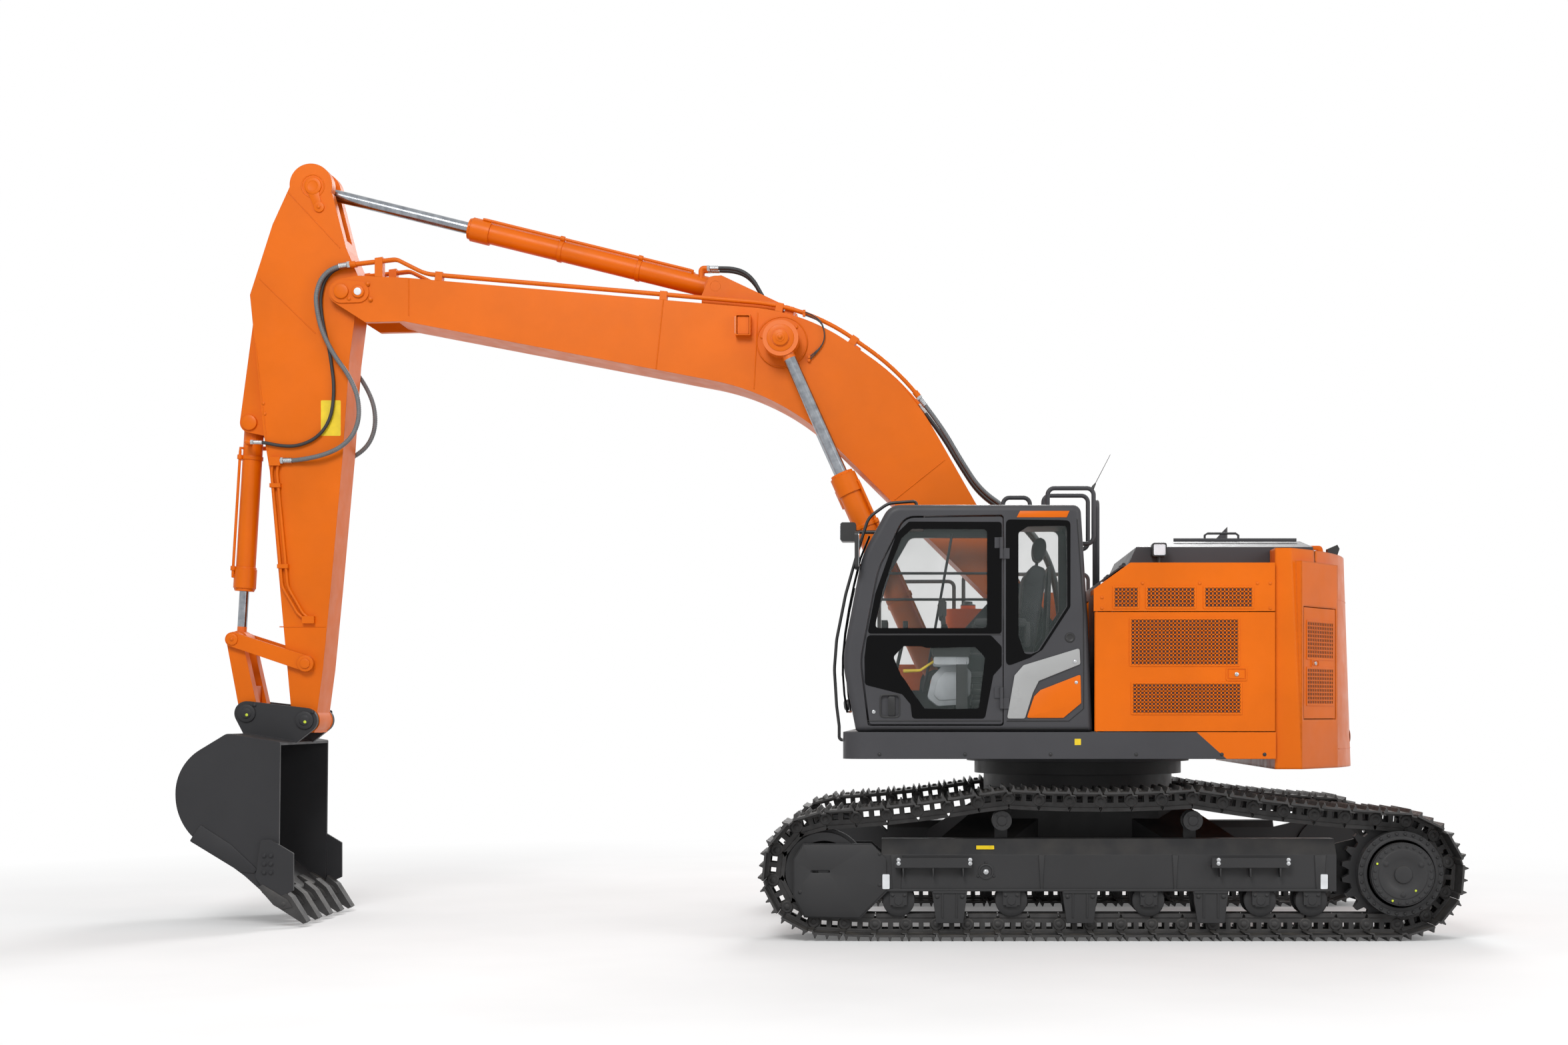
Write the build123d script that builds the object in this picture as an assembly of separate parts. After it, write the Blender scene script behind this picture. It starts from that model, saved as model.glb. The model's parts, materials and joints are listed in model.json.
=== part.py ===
from build123d import *
import math
import os

# Crawler excavator with a short tail. Millimetres; X points to the tail, Y to the right side, Z up.
# The model is drawn about the swing axis, X = Y = 0, on the ground, Z = 0, and is shifted along X
# when it is written, so that the origin lies under the middle of its bounding box.

# Fits between pieces
SEAT_GAP = 0.3            # a piece on its seat, on another body
PIN_GAP = 0.1             # pin or rod in its bore, on the radius
SIDE_GAP = 6.0            # beside a moving piece
PANEL_GAP = 6.0           # round a door or a lid
ROOM = 1.0                # how far a cutting tool runs past a face

# Undercarriage
GAUGE = 2590.0            # between the track centre lines
TUMBLERS = 4050.0         # idler centre to sprocket centre
TRACK_MID_X = 131.0       # middle of the tracks, behind the swing axis
SHOE_COUNT = 48
SHOE_WIDTH = 600.0
SHOE_PLATE = 12.0
GROUSER = 28.0
GROUSER_TIP = 9.0
WHEEL_PIN_R = 366.0       # link pins' radius on idler and sprocket
PIN_TO_PLATE = 57.0       # link pin line to the shoe
PIN_TO_RAIL = 75.0        # link pin line to the rail that the rollers run on
IDLER_LIFT = 12.0
SIDE_BAR = 46.0           # width of one row of links
SIDE_BAR_SPREAD = 140.0   # between the two rows' middles
SPROCKET_TEETH = 21
SPROCKET_WIDTH = 76.0
TOOTH_HEIGHT = 34.0
DRIVE_R = 262.0           # motor housing in the frame's ring
ROLLER_R = 95.0
YOKE_IN = 121.0           # idler yoke's inner faces, from the track's middle
YOKE_WALL = 24.0
ROLLER_LENGTH = 230.0
CARRIER_R = 72.0
CARRIER_SPREAD = 1350.0
CARRIER_MID_X = 38.0
CARRIER_PIN_Z = 990.0     # link pins over the carrier rollers
CARRIER_CLEARANCE = 14.0  # the straight links cut the corner over a roller
CARRIER_BRACKET = 106.0   # bracket's face, inside the track's middle
TRACK_SAG = 22.0
LOWER_ROLLERS_X = (-1367.0, -1007.0, -572.0, -90.0, 395.0, 830.0, 1183.0, 1545.0)
GUARDS_X = (-1007.0, -90.0, 830.0)
GUARD_LENGTH = 250.0

FRAME_TOP = 700.0
FRAME_SIDE_TOP = 592.0
FRAME_BOTTOM = 335.0
FRAME_WIDTH = 290.0
FRAME_FRONT_X = -1488.0
FRAME_REAR_X = 1715.0
FRAME_WALL = 16.0

BODY_HALF = 760.0         # half the car body's middle box
BODY_BOTTOM = 520.0
BODY_TOP = 960.0
RING_SEAT_TOP = 1033.0
RING_INNER_R = 724.0
RING_OUTER_R = 795.0
RING_SPLIT_Z = 1134.0
RING_BORE_R = 560.0

# Upperstructure
DECK_BOTTOM = 1228.0
DECK_FLOOR = 1268.0
DECK_TOP = 1457.0
DECK_FRONT_X = -1761.0
DECK_HALF_WIDTH = 1495.0
DECK_CORNER = 150.0
HOUSE_SEAM_X = 1280.0     # counterweight's front face
TAIL_R = 2070.0
TAIL_DRAFT = 52.0
COUNTERWEIGHT_BOTTOM = 1195.0
COUNTERWEIGHT_TOP = 2752.0
COUNTERWEIGHT_SIDE = DECK_HALF_WIDTH - 35.0
CORNER_DOOR_INNER_Y = 1000.0

FOOT_PIN = (-495.0, 2430.0)
FOOT_PIN_R = 55.0
FOOT_EYE_R = 122.0
FOOT_BRACKET_IN = 262.0
FOOT_BRACKET_OUT = 292.0

# Hinges
HINGE_R = 14.0            # knuckles of the cab door, hood and lid
HINGE_PROUD = 15.0        # their hinge line outside the face
HINGE_LEAF = 8.0
HINGE_LENGTH = 75.0       # one knuckle
DOOR_PIN_R = 8.0          # pins above and below a service door
DOOR_PIN_LENGTH = 11.0

# Engine housing
HOUSE_FRONT_X = 2.0
HOUSE_TOP = 2646.0
HOUSE_SEAM_Z = 2305.0
HOUSE_SLOPE_X = 259.0
HOUSE_SLOPE_Z = 2460.0
PANEL_WALL = 30.0
HOOD_EDGE_Y = DECK_HALF_WIDTH - 273.0
HOOD_RIGHT_Y = 470.0
HOOD_FRONT_X = 330.0
HOOD_NOSE = 60.0          # how far its sloped front runs out below
HOOD_REAR_X = 1592.0
HOOD_TOP = 2777.0
HOOD_CROWN = 84.0
TANK_REAR_X = 330.0

# Cab
CAB_OUT_Y = 35.0 - DECK_HALF_WIDTH
CAB_IN_Y = -500.0
SEAT_MIDDLE_Y = (CAB_OUT_Y + CAB_IN_Y) / 2
CAB_FLOOR_Z = DECK_TOP + SEAT_GAP
CAB_ROOF_Z = 3058.0
CAB_REAR_X = -35.0
CAB_ROOF_X = CAB_REAR_X - 50.0
CAB_REAR_BEND_Z = 2270.0
CAB_WALL = 55.0
CAB_FLOOR = 70.0          # thickness of the cab's floor
DOOR_REAR_X = -628.0
GLASS = 6.0
PANE_DEPTH = 2.0          # panes lie this far inside the outer face

# Tanks and toolbox on the right side
TANK_OUTER_Y = DECK_HALF_WIDTH - 35.0
TANK_INNER_Y = 640.0
FUEL_TOP = 2430.0
OIL_TOP = 2560.0
TOOLBOX_FRONT_X = -1700.0
TOOLBOX_REAR_X = -1030.0
TOOLBOX_INNER_Y = 760.0
TOOLBOX_OUTER_Y = DECK_HALF_WIDTH - 45.0
TOOLBOX_TOP = 1960.0
TOOLBOX_WALL = 20.0
LID_PLATE = 24.0

# Boom
ARM_PIN = (-5620.0, 4800.0)
ARM_PIN_R = 50.0
BOOM_HALF = 245.0
BOOM_WALL = 14.0
TIP_R = 100.0
FORK_IN = 188.0
BOOM_CYLINDER_Y = 385.0
BOOM_CYLINDER_BASE = (-1096.0, 1816.0)
BOOM_CYLINDER_HEAD = (-2266.0, 4414.0)
BOOM_BOSS_R = 190.0
BOOM_EYE_WIDTH = 116.0
BOOM_BASE_PIN_R = 45.0
ARM_CYLINDER_BASE = (-2786.0, 4866.0)

# Arm
ARM_TOP_PIN = (-5861.0, 5624.0)
BUCKET_PIN = (-5905.0, 1535.0)
ARM_HALF = 170.0
ARM_WALL = 12.0
BUCKET_CYLINDER_BASE = (-6362.0, 3820.0)
SIDE_LINK_PIN = (-5904.0, 1968.0)
ROD_PIN = (-6464.0, 2153.0)
BUCKET_LINK_PIN = (-6348.0, 1588.0)

# Bucket
BUCKET_HALF = 630.0
BUCKET_WALL = 25.0
TEETH = 5
TOOTH_SPREAD = 1200.0
TOOTH_WIDTH = 110.0


# Helpers

def outline(points, radius=0.0):
    """Closed face through the points, every corner rounded to the radius or to its own of a list."""
    if isinstance(radius, (list, tuple)) or radius > 0:
        return make_face(FilletPolyline(*points, radius=radius, close=True))
    return make_face(Polyline(*points, close=True))


def prism_xz(face, y_low, y_high):
    """A face drawn in X and Z, as thick as y_low to y_high."""
    return extrude(Plane.XZ.offset(-y_low) * face, amount=y_low - y_high)


def prism_yz(face, x_low, x_high):
    return extrude(Plane.YZ.offset(x_low) * face, amount=x_high - x_low)


def prism_xy(face, z_low, z_high):
    return extrude(Plane.XY.offset(z_low) * face, amount=z_high - z_low)


def block(x_low, x_high, y_low, y_high, z_low, z_high):
    size = (x_high - x_low, y_high - y_low, z_high - z_low)
    return Pos((x_low + x_high) / 2, (y_low + y_high) / 2, (z_low + z_high) / 2) * Box(*size)


def disc_y(centre, radius, y_low, y_high):
    """A round bar along Y about a point given by X and Z."""
    bar = Rot(90, 0, 0) * Cylinder(radius, y_high - y_low)
    return Pos(centre[0], (y_low + y_high) / 2, centre[1]) * bar


def both_sides(shape):
    return shape + mirror(shape, about=Plane.XZ)


def along(start, end, distance):
    """The point at a distance from start towards end, in X and Z."""
    length = math.dist(start, end)
    return (start[0] + (end[0] - start[0]) * distance / length,
            start[1] + (end[1] - start[1]) * distance / length)


def bar_between(start, end, y, radius):
    """A round bar between two points of one plane Y = y."""
    origin = Vector(start[0], y, start[1])
    direction = Vector(end[0], y, end[1]) - origin
    return Plane(origin=origin, z_dir=direction) * Cylinder(
        radius, direction.length, align=(Align.CENTER, Align.CENTER, Align.MIN))


def tube(points, radius, bend=0.0):
    """A round bar along points in space, its corners rounded to the bend radius or to a list of radii."""
    path = FilletPolyline(*points, radius=bend) if bend else Polyline(*points)
    section = Plane(origin=path @ 0, z_dir=path % 0) * Circle(radius)
    return sweep(section, path=path, transition=Transition.RIGHT)


def cord_radii(points):
    """The bend at each point of a hose: as large as its two runs allow."""
    radii = []
    for before, point, after in zip(points, points[1:], points[2:]):
        first, second = Vector(*point) - Vector(*before), Vector(*after) - Vector(*point)
        turn = math.radians(first.get_angle(second))
        radii.append(0.45 * min(first.length, second.length) / math.tan(turn / 2))
    return radii


def hose(points, radius):
    """A hose's tube: straight runs joined by tangent arcs."""
    return tube(points, radius, bend=cord_radii(points))


def moved_line(points, distance):
    """An open line of straight runs in X and Z, moved to its left side by a distance."""
    moved = []
    for index, point in enumerate(points):
        before = points[index - 1] if index > 0 else point
        after = points[index + 1] if index < len(points) - 1 else point
        first = math.atan2(point[1] - before[1], point[0] - before[0])
        second = math.atan2(after[1] - point[1], after[0] - point[0])
        if before == point:
            first = second
        if after == point:
            second = first
        half = (second - first) / 2
        normal = first + half + math.pi / 2
        reach = distance / math.cos(half)
        moved.append((point[0] + reach * math.cos(normal), point[1] + reach * math.sin(normal)))
    return moved


def tapered_plate(first, first_r, second, second_r, y_low, y_high):
    """A link plate: two round ends joined by their common tangents."""
    ends = make_hull((Pos(*first) * Circle(first_r)).edges() + (Pos(*second) * Circle(second_r)).edges())
    return prism_xz(ends, y_low, y_high)


def hinge_moving(plane):
    """Knuckle and leaf of the moving side: the plane's X points to the fixed side, Y into the body."""
    knuckle = Pos(0, 0, HINGE_LENGTH / 2) * Cylinder(HINGE_R, HINGE_LENGTH)
    leaf = Pos(-24, HINGE_PROUD - HINGE_LEAF / 2, HINGE_LENGTH / 2) * Box(48, HINGE_LEAF, HINGE_LENGTH)
    return plane * (knuckle + leaf)


def hinge_fixed(plane):
    """The other knuckle, on the same pin, with its leaf bent down to the fixed face."""
    low = -SEAT_GAP - HINGE_LENGTH / 2
    knuckle = Pos(0, 0, low) * Cylinder(HINGE_R, HINGE_LENGTH)
    leaf = Pos(12, HINGE_PROUD - HINGE_LEAF / 2 - ROOM, low) * Box(24, HINGE_LEAF - 2 * ROOM, HINGE_LENGTH)
    pad = Pos(40, HINGE_PROUD - HINGE_LEAF / 2, low) * Box(34, HINGE_LEAF, HINGE_LENGTH)
    return plane * (knuckle + leaf + pad)


def pin_edge(x, y, z_low, z_high, wall):
    """Round hinge edge of a service door, with a pin above and below."""
    middle = (z_low + z_high) / 2
    edge = Cylinder(wall / 2, z_high - z_low) + Cylinder(DOOR_PIN_R, z_high - z_low + 2 * DOOR_PIN_LENGTH)
    return Pos(x, y, middle) * edge


# Tracks

IDLER = (TRACK_MID_X - TUMBLERS / 2, GROUSER + SHOE_PLATE + PIN_TO_PLATE + WHEEL_PIN_R + IDLER_LIFT)
SPROCKET = (TRACK_MID_X + TUMBLERS / 2, GROUSER + SHOE_PLATE + PIN_TO_PLATE + WHEEL_PIN_R)
PIN_LINE_Z = GROUSER + SHOE_PLATE + PIN_TO_PLATE
RAIL_Z = PIN_LINE_Z + PIN_TO_RAIL
CARRIER_Z = CARRIER_PIN_Z - PIN_TO_RAIL - CARRIER_R - CARRIER_CLEARANCE
CARRIERS_X = (CARRIER_MID_X - CARRIER_SPREAD / 2, CARRIER_MID_X + CARRIER_SPREAD / 2)


def track_path():
    """Fine points of the pin line, anticlockwise seen from the left: bottom, idler, top run, sprocket."""
    front_roller, rear_roller = CARRIERS_X
    points = [(SPROCKET[0], PIN_LINE_Z), (LOWER_ROLLERS_X[0] - 2 * ROLLER_R, PIN_LINE_Z)]
    for step in range(25):
        angle = math.radians(270 - 180 * step / 24)
        points.append((IDLER[0] + WHEEL_PIN_R * math.cos(angle), IDLER[1] + WHEEL_PIN_R * math.sin(angle)))
    spans = (((IDLER[0], IDLER[1] + WHEEL_PIN_R), (front_roller, CARRIER_PIN_Z)),
             ((front_roller, CARRIER_PIN_Z), (rear_roller, CARRIER_PIN_Z)),
             ((rear_roller, CARRIER_PIN_Z), (SPROCKET[0], SPROCKET[1] + WHEEL_PIN_R)))
    for start, end in spans:
        for step in range(1, 13):
            share = step / 12
            sag = TRACK_SAG * 4 * share * (1 - share)
            points.append((start[0] + (end[0] - start[0]) * share,
                           start[1] + (end[1] - start[1]) * share - sag))
    for step in range(1, 25):
        angle = math.radians(90 - 180 * step / 24)
        points.append((SPROCKET[0] + WHEEL_PIN_R * math.cos(angle),
                       SPROCKET[1] + WHEEL_PIN_R * math.sin(angle)))
    return points


def link_pins():
    """The link pins' places: the path, divided into equal lengths."""
    path = track_path()
    lengths = [0.0]
    for start, end in zip(path, path[1:]):
        lengths.append(lengths[-1] + math.dist(start, end))
    pins = []
    for index in range(SHOE_COUNT):
        target = lengths[-1] * index / SHOE_COUNT
        span = max(i for i, length in enumerate(lengths) if length <= target + 1e-9)
        span = min(span, len(path) - 2)
        pins.append(along(path[span], path[span + 1], target - lengths[span]))
    return pins


def offset_pins(pins, distance):
    """The loop's corners moved out by a distance: where the neighbouring links' faces meet."""
    corners = []
    for index, pin in enumerate(pins):
        before, after = pins[index - 1], pins[(index + 1) % len(pins)]
        first = math.atan2(pin[1] - before[1], pin[0] - before[0])
        second = math.atan2(after[1] - pin[1], after[0] - pin[0])
        half = ((second - first + math.pi) % (2 * math.pi) - math.pi) / 2
        normal = first + half + math.pi / 2
        reach = distance / math.cos(half)
        corners.append((pin[0] + reach * math.cos(normal), pin[1] + reach * math.sin(normal)))
    return corners


def without_straights(points):
    """The outline without the corners that lie in line with their neighbours."""
    kept = []
    for index, point in enumerate(points):
        before, after = points[index - 1], points[(index + 1) % len(points)]
        turn = ((point[0] - before[0]) * (after[1] - point[1])
                - (point[1] - before[1]) * (after[0] - point[0]))
        if abs(turn) > 1.0:
            kept.append(point)
    return kept


def shoe_outline(pins):
    """Outer edge of all shoes: three grousers on each, with a notch between neighbours."""
    notch = offset_pins(pins, PIN_TO_PLATE + SHOE_PLATE / 2)
    plate = PIN_TO_PLATE + SHOE_PLATE
    tip = plate + GROUSER
    edge = []
    for index, pin in enumerate(pins):
        after = pins[(index + 1) % len(pins)]
        pitch = math.dist(pin, after)
        ahead = ((after[0] - pin[0]) / pitch, (after[1] - pin[1]) / pitch)
        out = (-ahead[1], ahead[0])
        edge.append(notch[index])
        # place along the shoe and height over the pin line
        rows = ((0.11, tip, -1), (0.11, tip, 1), (0.30, plate, 0), (0.50, tip, -1), (0.50, tip, 1),
                (0.70, plate, 0), (0.89, tip, -1), (0.89, tip, 1))
        for share, height, side in rows:
            step = pitch * share + side * GROUSER_TIP / 2
            edge.append((pin[0] + ahead[0] * step + out[0] * height,
                         pin[1] + ahead[1] * step + out[1] * height))
    return edge


def track(side):
    """One fixed loop: 48 triple-grouser shoes and the two rows of links inside them."""
    pins = link_pins()
    plate_line = without_straights(offset_pins(pins, PIN_TO_PLATE))
    rail_line = without_straights(offset_pins(pins, -PIN_TO_RAIL))
    middle = side * GAUGE / 2
    shoes = outline(shoe_outline(pins)) - outline(plate_line)
    loop = prism_xz(shoes, middle - SHOE_WIDTH / 2, middle + SHOE_WIDTH / 2)
    links = outline(plate_line) - outline(rail_line)
    for row in (-1, 1):
        row_mid = middle + row * SIDE_BAR_SPREAD / 2
        loop += prism_xz(links, row_mid - SIDE_BAR / 2, row_mid + SIDE_BAR / 2)
    return loop


# Undercarriage

def wheel(centre, middle, profile):
    """A wheel about an axis along Y; the profile lists half widths and radii from the rim inwards."""
    right = [(width, radius) for width, radius in profile]
    left = [(-width, radius) for width, radius in reversed(profile)]
    face = make_face(Polyline((-profile[-1][0], 0), *left, *right, (profile[-1][0], 0), close=True))
    turned = revolve(face, Axis.X)
    return Pos(centre[0], middle, centre[1]) * Rot(0, 0, 90) * turned


def idlers():
    half_pitch = math.dist(*link_pins()[:2]) / 2
    rail_r = math.sqrt(WHEEL_PIN_R ** 2 - half_pitch ** 2) - PIN_TO_RAIL - ROOM
    groove = SIDE_BAR_SPREAD / 2 - SIDE_BAR / 2 - SIDE_GAP
    profile = ((groove, rail_r + 22), (groove, rail_r), (100, rail_r), (100, rail_r - 60), (50, rail_r - 75),
               (50, 110), (YOKE_IN - SEAT_GAP, 100))
    return both_sides(wheel(IDLER, -GAUGE / 2, profile))


def sprocket_face():
    """The toothed ring: teeth between round roots."""
    points = []
    root = WHEEL_PIN_R - TOOTH_HEIGHT
    tip = WHEEL_PIN_R + TOOTH_HEIGHT / 2
    for tooth in range(SPROCKET_TEETH):
        rows = ((-0.32, root), (-0.13, tip), (0.13, tip), (0.32, root))
        for share, radius in rows:
            angle = 2 * math.pi * (tooth + share) / SPROCKET_TEETH
            points.append((SPROCKET[0] + radius * math.cos(angle), SPROCKET[1] + radius * math.sin(angle)))
    return outline(points)


def final_drives():
    """Sprocket, gear housing with its cover, and the motor on the inner side."""
    middle = -GAUGE / 2
    drive = prism_xz(sprocket_face(), middle - SPROCKET_WIDTH / 2, middle + SPROCKET_WIDTH / 2)
    steps = ((DRIVE_R, -105, -38), (300, -200, -105), (222, -265, -200), (60, -275, -265), (DRIVE_R, 38, 175))
    for radius, near, far in steps:
        drive += disc_y(SPROCKET, radius, middle + near, middle + far)
    return both_sides(drive)


def lower_rollers():
    height = RAIL_Z + ROLLER_R + SEAT_GAP
    rollers = Part()
    for x in LOWER_ROLLERS_X:
        rollers += disc_y((x, height), ROLLER_R, -GAUGE / 2 - ROLLER_LENGTH / 2, -GAUGE / 2 + ROLLER_LENGTH / 2)
    return both_sides(rollers)


def carrier_rollers():
    rollers = Part()
    for x in CARRIERS_X:
        rollers += disc_y((x, CARRIER_Z), CARRIER_R, -GAUGE / 2 - 95, -GAUGE / 2 + 95)
        rollers += disc_y((x, CARRIER_Z), 34, -GAUGE / 2 + 95, -GAUGE / 2 + CARRIER_BRACKET)
    return both_sides(rollers)


def track_frame(side):
    """Beam between idler and sprocket, with the idler's yoke, roller guards, steps and drive ring."""
    middle = -GAUGE / 2
    outer = middle - FRAME_WIDTH / 2
    inner = middle + FRAME_WIDTH / 2
    section = ((outer, FRAME_BOTTOM), (outer, FRAME_SIDE_TOP), (outer + 90, FRAME_TOP),
               (inner - 40, FRAME_TOP), (inner, FRAME_SIDE_TOP + 50), (inner, FRAME_BOTTOM))
    beam = prism_yz(outline(section), FRAME_FRONT_X, FRAME_REAR_X)
    hollow = ((outer + FRAME_WALL, FRAME_BOTTOM - ROOM), (outer + FRAME_WALL, FRAME_SIDE_TOP - 8),
              (outer + 98, FRAME_TOP - FRAME_WALL), (inner - 48, FRAME_TOP - FRAME_WALL),
              (inner - FRAME_WALL, FRAME_SIDE_TOP + 42), (inner - FRAME_WALL, FRAME_BOTTOM - ROOM))
    beam -= prism_yz(outline(hollow), FRAME_FRONT_X + FRAME_WALL, FRAME_REAR_X - FRAME_WALL)
    roller_z = RAIL_Z + ROLLER_R + SEAT_GAP
    for x in LOWER_ROLLERS_X:
        for end in (-1, 1):
            y = middle + end * (ROLLER_LENGTH / 2 + 14 + SEAT_GAP)
            beam += block(x - 60, x + 60, y - 14, y + 14, roller_z - 30, FRAME_BOTTOM + 40)
    for x in GUARDS_X:
        for y_low in (outer - 12, inner - 12):
            guard = ((x - GUARD_LENGTH / 2, FRAME_BOTTOM + 10), (x + GUARD_LENGTH / 2, FRAME_BOTTOM + 10),
                     (x + GUARD_LENGTH / 2 - 30, RAIL_Z - 60), (x - GUARD_LENGTH / 2 + 30, RAIL_Z - 60))
            beam += prism_xz(outline(guard), y_low, y_low + 24)
    yoke = ((-2110, 300), (-2110, 560), (-2040, 672), (-1560, 672), (-1440, 560), (-1440, 340), (-1640, 140),
            (-2030, 150))
    slot = outline(((IDLER[0] - 80, IDLER[1] - 32), (IDLER[0] + 80, IDLER[1] - 32),
                    (IDLER[0] + 80, IDLER[1] + 32), (IDLER[0] - 80, IDLER[1] + 32)), radius=30)
    for y_low in (middle - YOKE_IN - YOKE_WALL, middle + YOKE_IN):
        beam += prism_xz(outline(yoke) - slot, y_low, y_low + YOKE_WALL)
    for x in CARRIERS_X:
        y = middle + CARRIER_BRACKET
        beam += block(x - 45, x + 45, y, y + 34, FRAME_TOP - 60, CARRIER_Z + 45)
    drive_ring = (Pos(*SPROCKET) * Circle(300)) + outline(
        ((FRAME_REAR_X - 60, FRAME_BOTTOM), (FRAME_REAR_X - 60, FRAME_SIDE_TOP + 40),
         (SPROCKET[0], SPROCKET[1] + 290), (SPROCKET[0], SPROCKET[1] - 290)))
    beam += prism_xz(drive_ring - Pos(*SPROCKET) * Circle(DRIVE_R + SEAT_GAP), middle + 105, middle + 145)
    for x_low in (-1394, 830):
        step = block(x_low, x_low + 540, outer - 70, outer, 505, 525)
        beam += step + block(x_low, x_low + 540, outer - 70, outer - 50, 525, 575)
    if side > 0:
        return mirror(beam, about=Plane.XZ)
    return beam


def car_body():
    """Middle box under the slew ring, with four legs out to the track frames."""
    cut = 220.0
    plan = [(BODY_HALF, BODY_HALF - cut), (BODY_HALF - cut, BODY_HALF), (cut - BODY_HALF, BODY_HALF),
            (-BODY_HALF, BODY_HALF - cut), (-BODY_HALF, cut - BODY_HALF), (cut - BODY_HALF, -BODY_HALF),
            (BODY_HALF - cut, -BODY_HALF), (BODY_HALF, cut - BODY_HALF)]
    body = prism_xy(outline(plan), BODY_BOTTOM, BODY_TOP)
    body += Pos(0, 0, (BODY_TOP + RING_SEAT_TOP) / 2) * Cylinder(RING_INNER_R, RING_SEAT_TOP - BODY_TOP)
    reach = GAUGE / 2 - FRAME_WIDTH / 2
    for end in (-1, 1):
        inner = [(end * 150, BODY_BOTTOM + 30), (end * 150, BODY_TOP - 20), (end * 720, BODY_TOP - 20),
                 (end * 720, BODY_BOTTOM + 30)]
        outer = [(end * 640, FRAME_BOTTOM + 40), (end * 640, FRAME_SIDE_TOP + 30),
                 (end * 1160, FRAME_SIDE_TOP + 30), (end * 1160, FRAME_BOTTOM + 40)]
        leg = loft([Plane.XZ.offset(500) * outline(inner), Plane.XZ.offset(reach) * outline(outer)], ruled=True)
        body += both_sides(leg)
    body -= Pos(0, 0, BODY_TOP) * Cylinder(RING_BORE_R, 2 * (BODY_TOP - BODY_BOTTOM))
    return body


def slew_ring_base():
    ring = Cylinder(RING_INNER_R, RING_SPLIT_Z - RING_SEAT_TOP) - Cylinder(RING_BORE_R, 1000)
    return Pos(0, 0, (RING_SPLIT_Z + RING_SEAT_TOP) / 2) * ring


def slew_ring_top():
    top = RING_SPLIT_Z + SEAT_GAP
    ring = Cylinder(RING_OUTER_R, DECK_BOTTOM - top) - Cylinder(RING_BORE_R + 40, 1000)
    return Pos(0, 0, (DECK_BOTTOM + top) / 2) * ring


# Upperstructure

def foot_bracket_face():
    seat = DECK_TOP + SEAT_GAP
    hull = make_hull((Pos(*FOOT_PIN) * Circle(150)).edges()
                     + (Pos(*BOOM_CYLINDER_BASE) * Circle(120)).edges()
                     + Polyline((-1250, seat), (380, seat)).edges())
    return hull


def deck():
    """Revolving frame: floor, side skirts and the ribs under the boom's bracket."""
    front, rear, half = DECK_FRONT_X, HOUSE_SEAM_X, DECK_HALF_WIDTH
    plan = outline(((front, -half), (rear, -half), (rear, half), (front, half)))
    plan = fillet(plan.vertices().filter_by(lambda v: v.X < front + 1), DECK_CORNER)
    deck_body = prism_xy(plan, DECK_FLOOR, DECK_TOP)
    inside = outline(((front + 60, -half + 60), (rear - 60, -half + 60), (rear - 60, half - 60),
                      (front + 60, half - 60)))
    deck_body -= prism_xy(inside, DECK_FLOOR - ROOM, DECK_TOP - 12)
    for y_low in (-FOOT_BRACKET_OUT, FOOT_BRACKET_IN):
        deck_body += block(front + 30, rear - 30, y_low, y_low + 30, DECK_FLOOR, DECK_TOP - 6)
    deck_body += prism_xy(Circle(RING_OUTER_R + 60), DECK_BOTTOM + SEAT_GAP, DECK_FLOOR + 10)
    deck_body -= side_door_pin_bore(HOUSE_FRONT_X)
    return deck_body - mirror(side_door_pin_bore(TANK_REAR_X), about=Plane.XZ)


def boom_bracket():
    """Plates on the deck that carry the boom's foot, with the outer ears of its cylinders."""
    bracket = prism_xz(foot_bracket_face(), -FOOT_BRACKET_OUT, -FOOT_BRACKET_IN)
    seat = DECK_TOP + SEAT_GAP
    outer_ear = make_hull((Pos(*BOOM_CYLINDER_BASE) * Circle(100)).edges()
                          + Polyline((-1230, seat), (-900, seat)).edges())
    ear_in = BOOM_CYLINDER_Y + BOOM_EYE_WIDTH / 2 + SIDE_GAP
    bracket += prism_xz(outer_ear, -ear_in - 30, -ear_in)
    boss_out = BOOM_CYLINDER_Y - BOOM_EYE_WIDTH / 2 - SIDE_GAP
    bracket += disc_y(BOOM_CYLINDER_BASE, 80, -boss_out, -FOOT_BRACKET_OUT)
    bracket -= disc_y(BOOM_CYLINDER_BASE, BOOM_BASE_PIN_R + PIN_GAP, -500, -250)
    bracket -= disc_y(FOOT_PIN, FOOT_PIN_R + PIN_GAP, -500, -250)
    return both_sides(bracket)


def tail_cone():
    height = COUNTERWEIGHT_TOP - COUNTERWEIGHT_BOTTOM
    cone = Cone(TAIL_R, TAIL_R - TAIL_DRAFT, height, align=(Align.CENTER, Align.CENTER, Align.MIN))
    return Pos(0, 0, COUNTERWEIGHT_BOTTOM) * cone


def corner_plane():
    """The flat left corner of the tail: X runs along it to the rear, Y into the block."""
    front = (math.sqrt(TAIL_R ** 2 - COUNTERWEIGHT_SIDE ** 2), -COUNTERWEIGHT_SIDE)
    rear = (math.sqrt(TAIL_R ** 2 - CORNER_DOOR_INNER_Y ** 2), -CORNER_DOOR_INNER_Y)
    along_corner = (rear[0] - front[0], rear[1] - front[1], 0)
    return Plane(origin=(front[0], front[1], 0), x_dir=along_corner, z_dir=(0, 0, 1)), math.dist(front, rear)


CORNER_DOOR_MARGIN = 28.0
CORNER_DOOR_Z = (1545.0, 2343.0)
CORNER_BAY_DEPTH = 180.0


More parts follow.
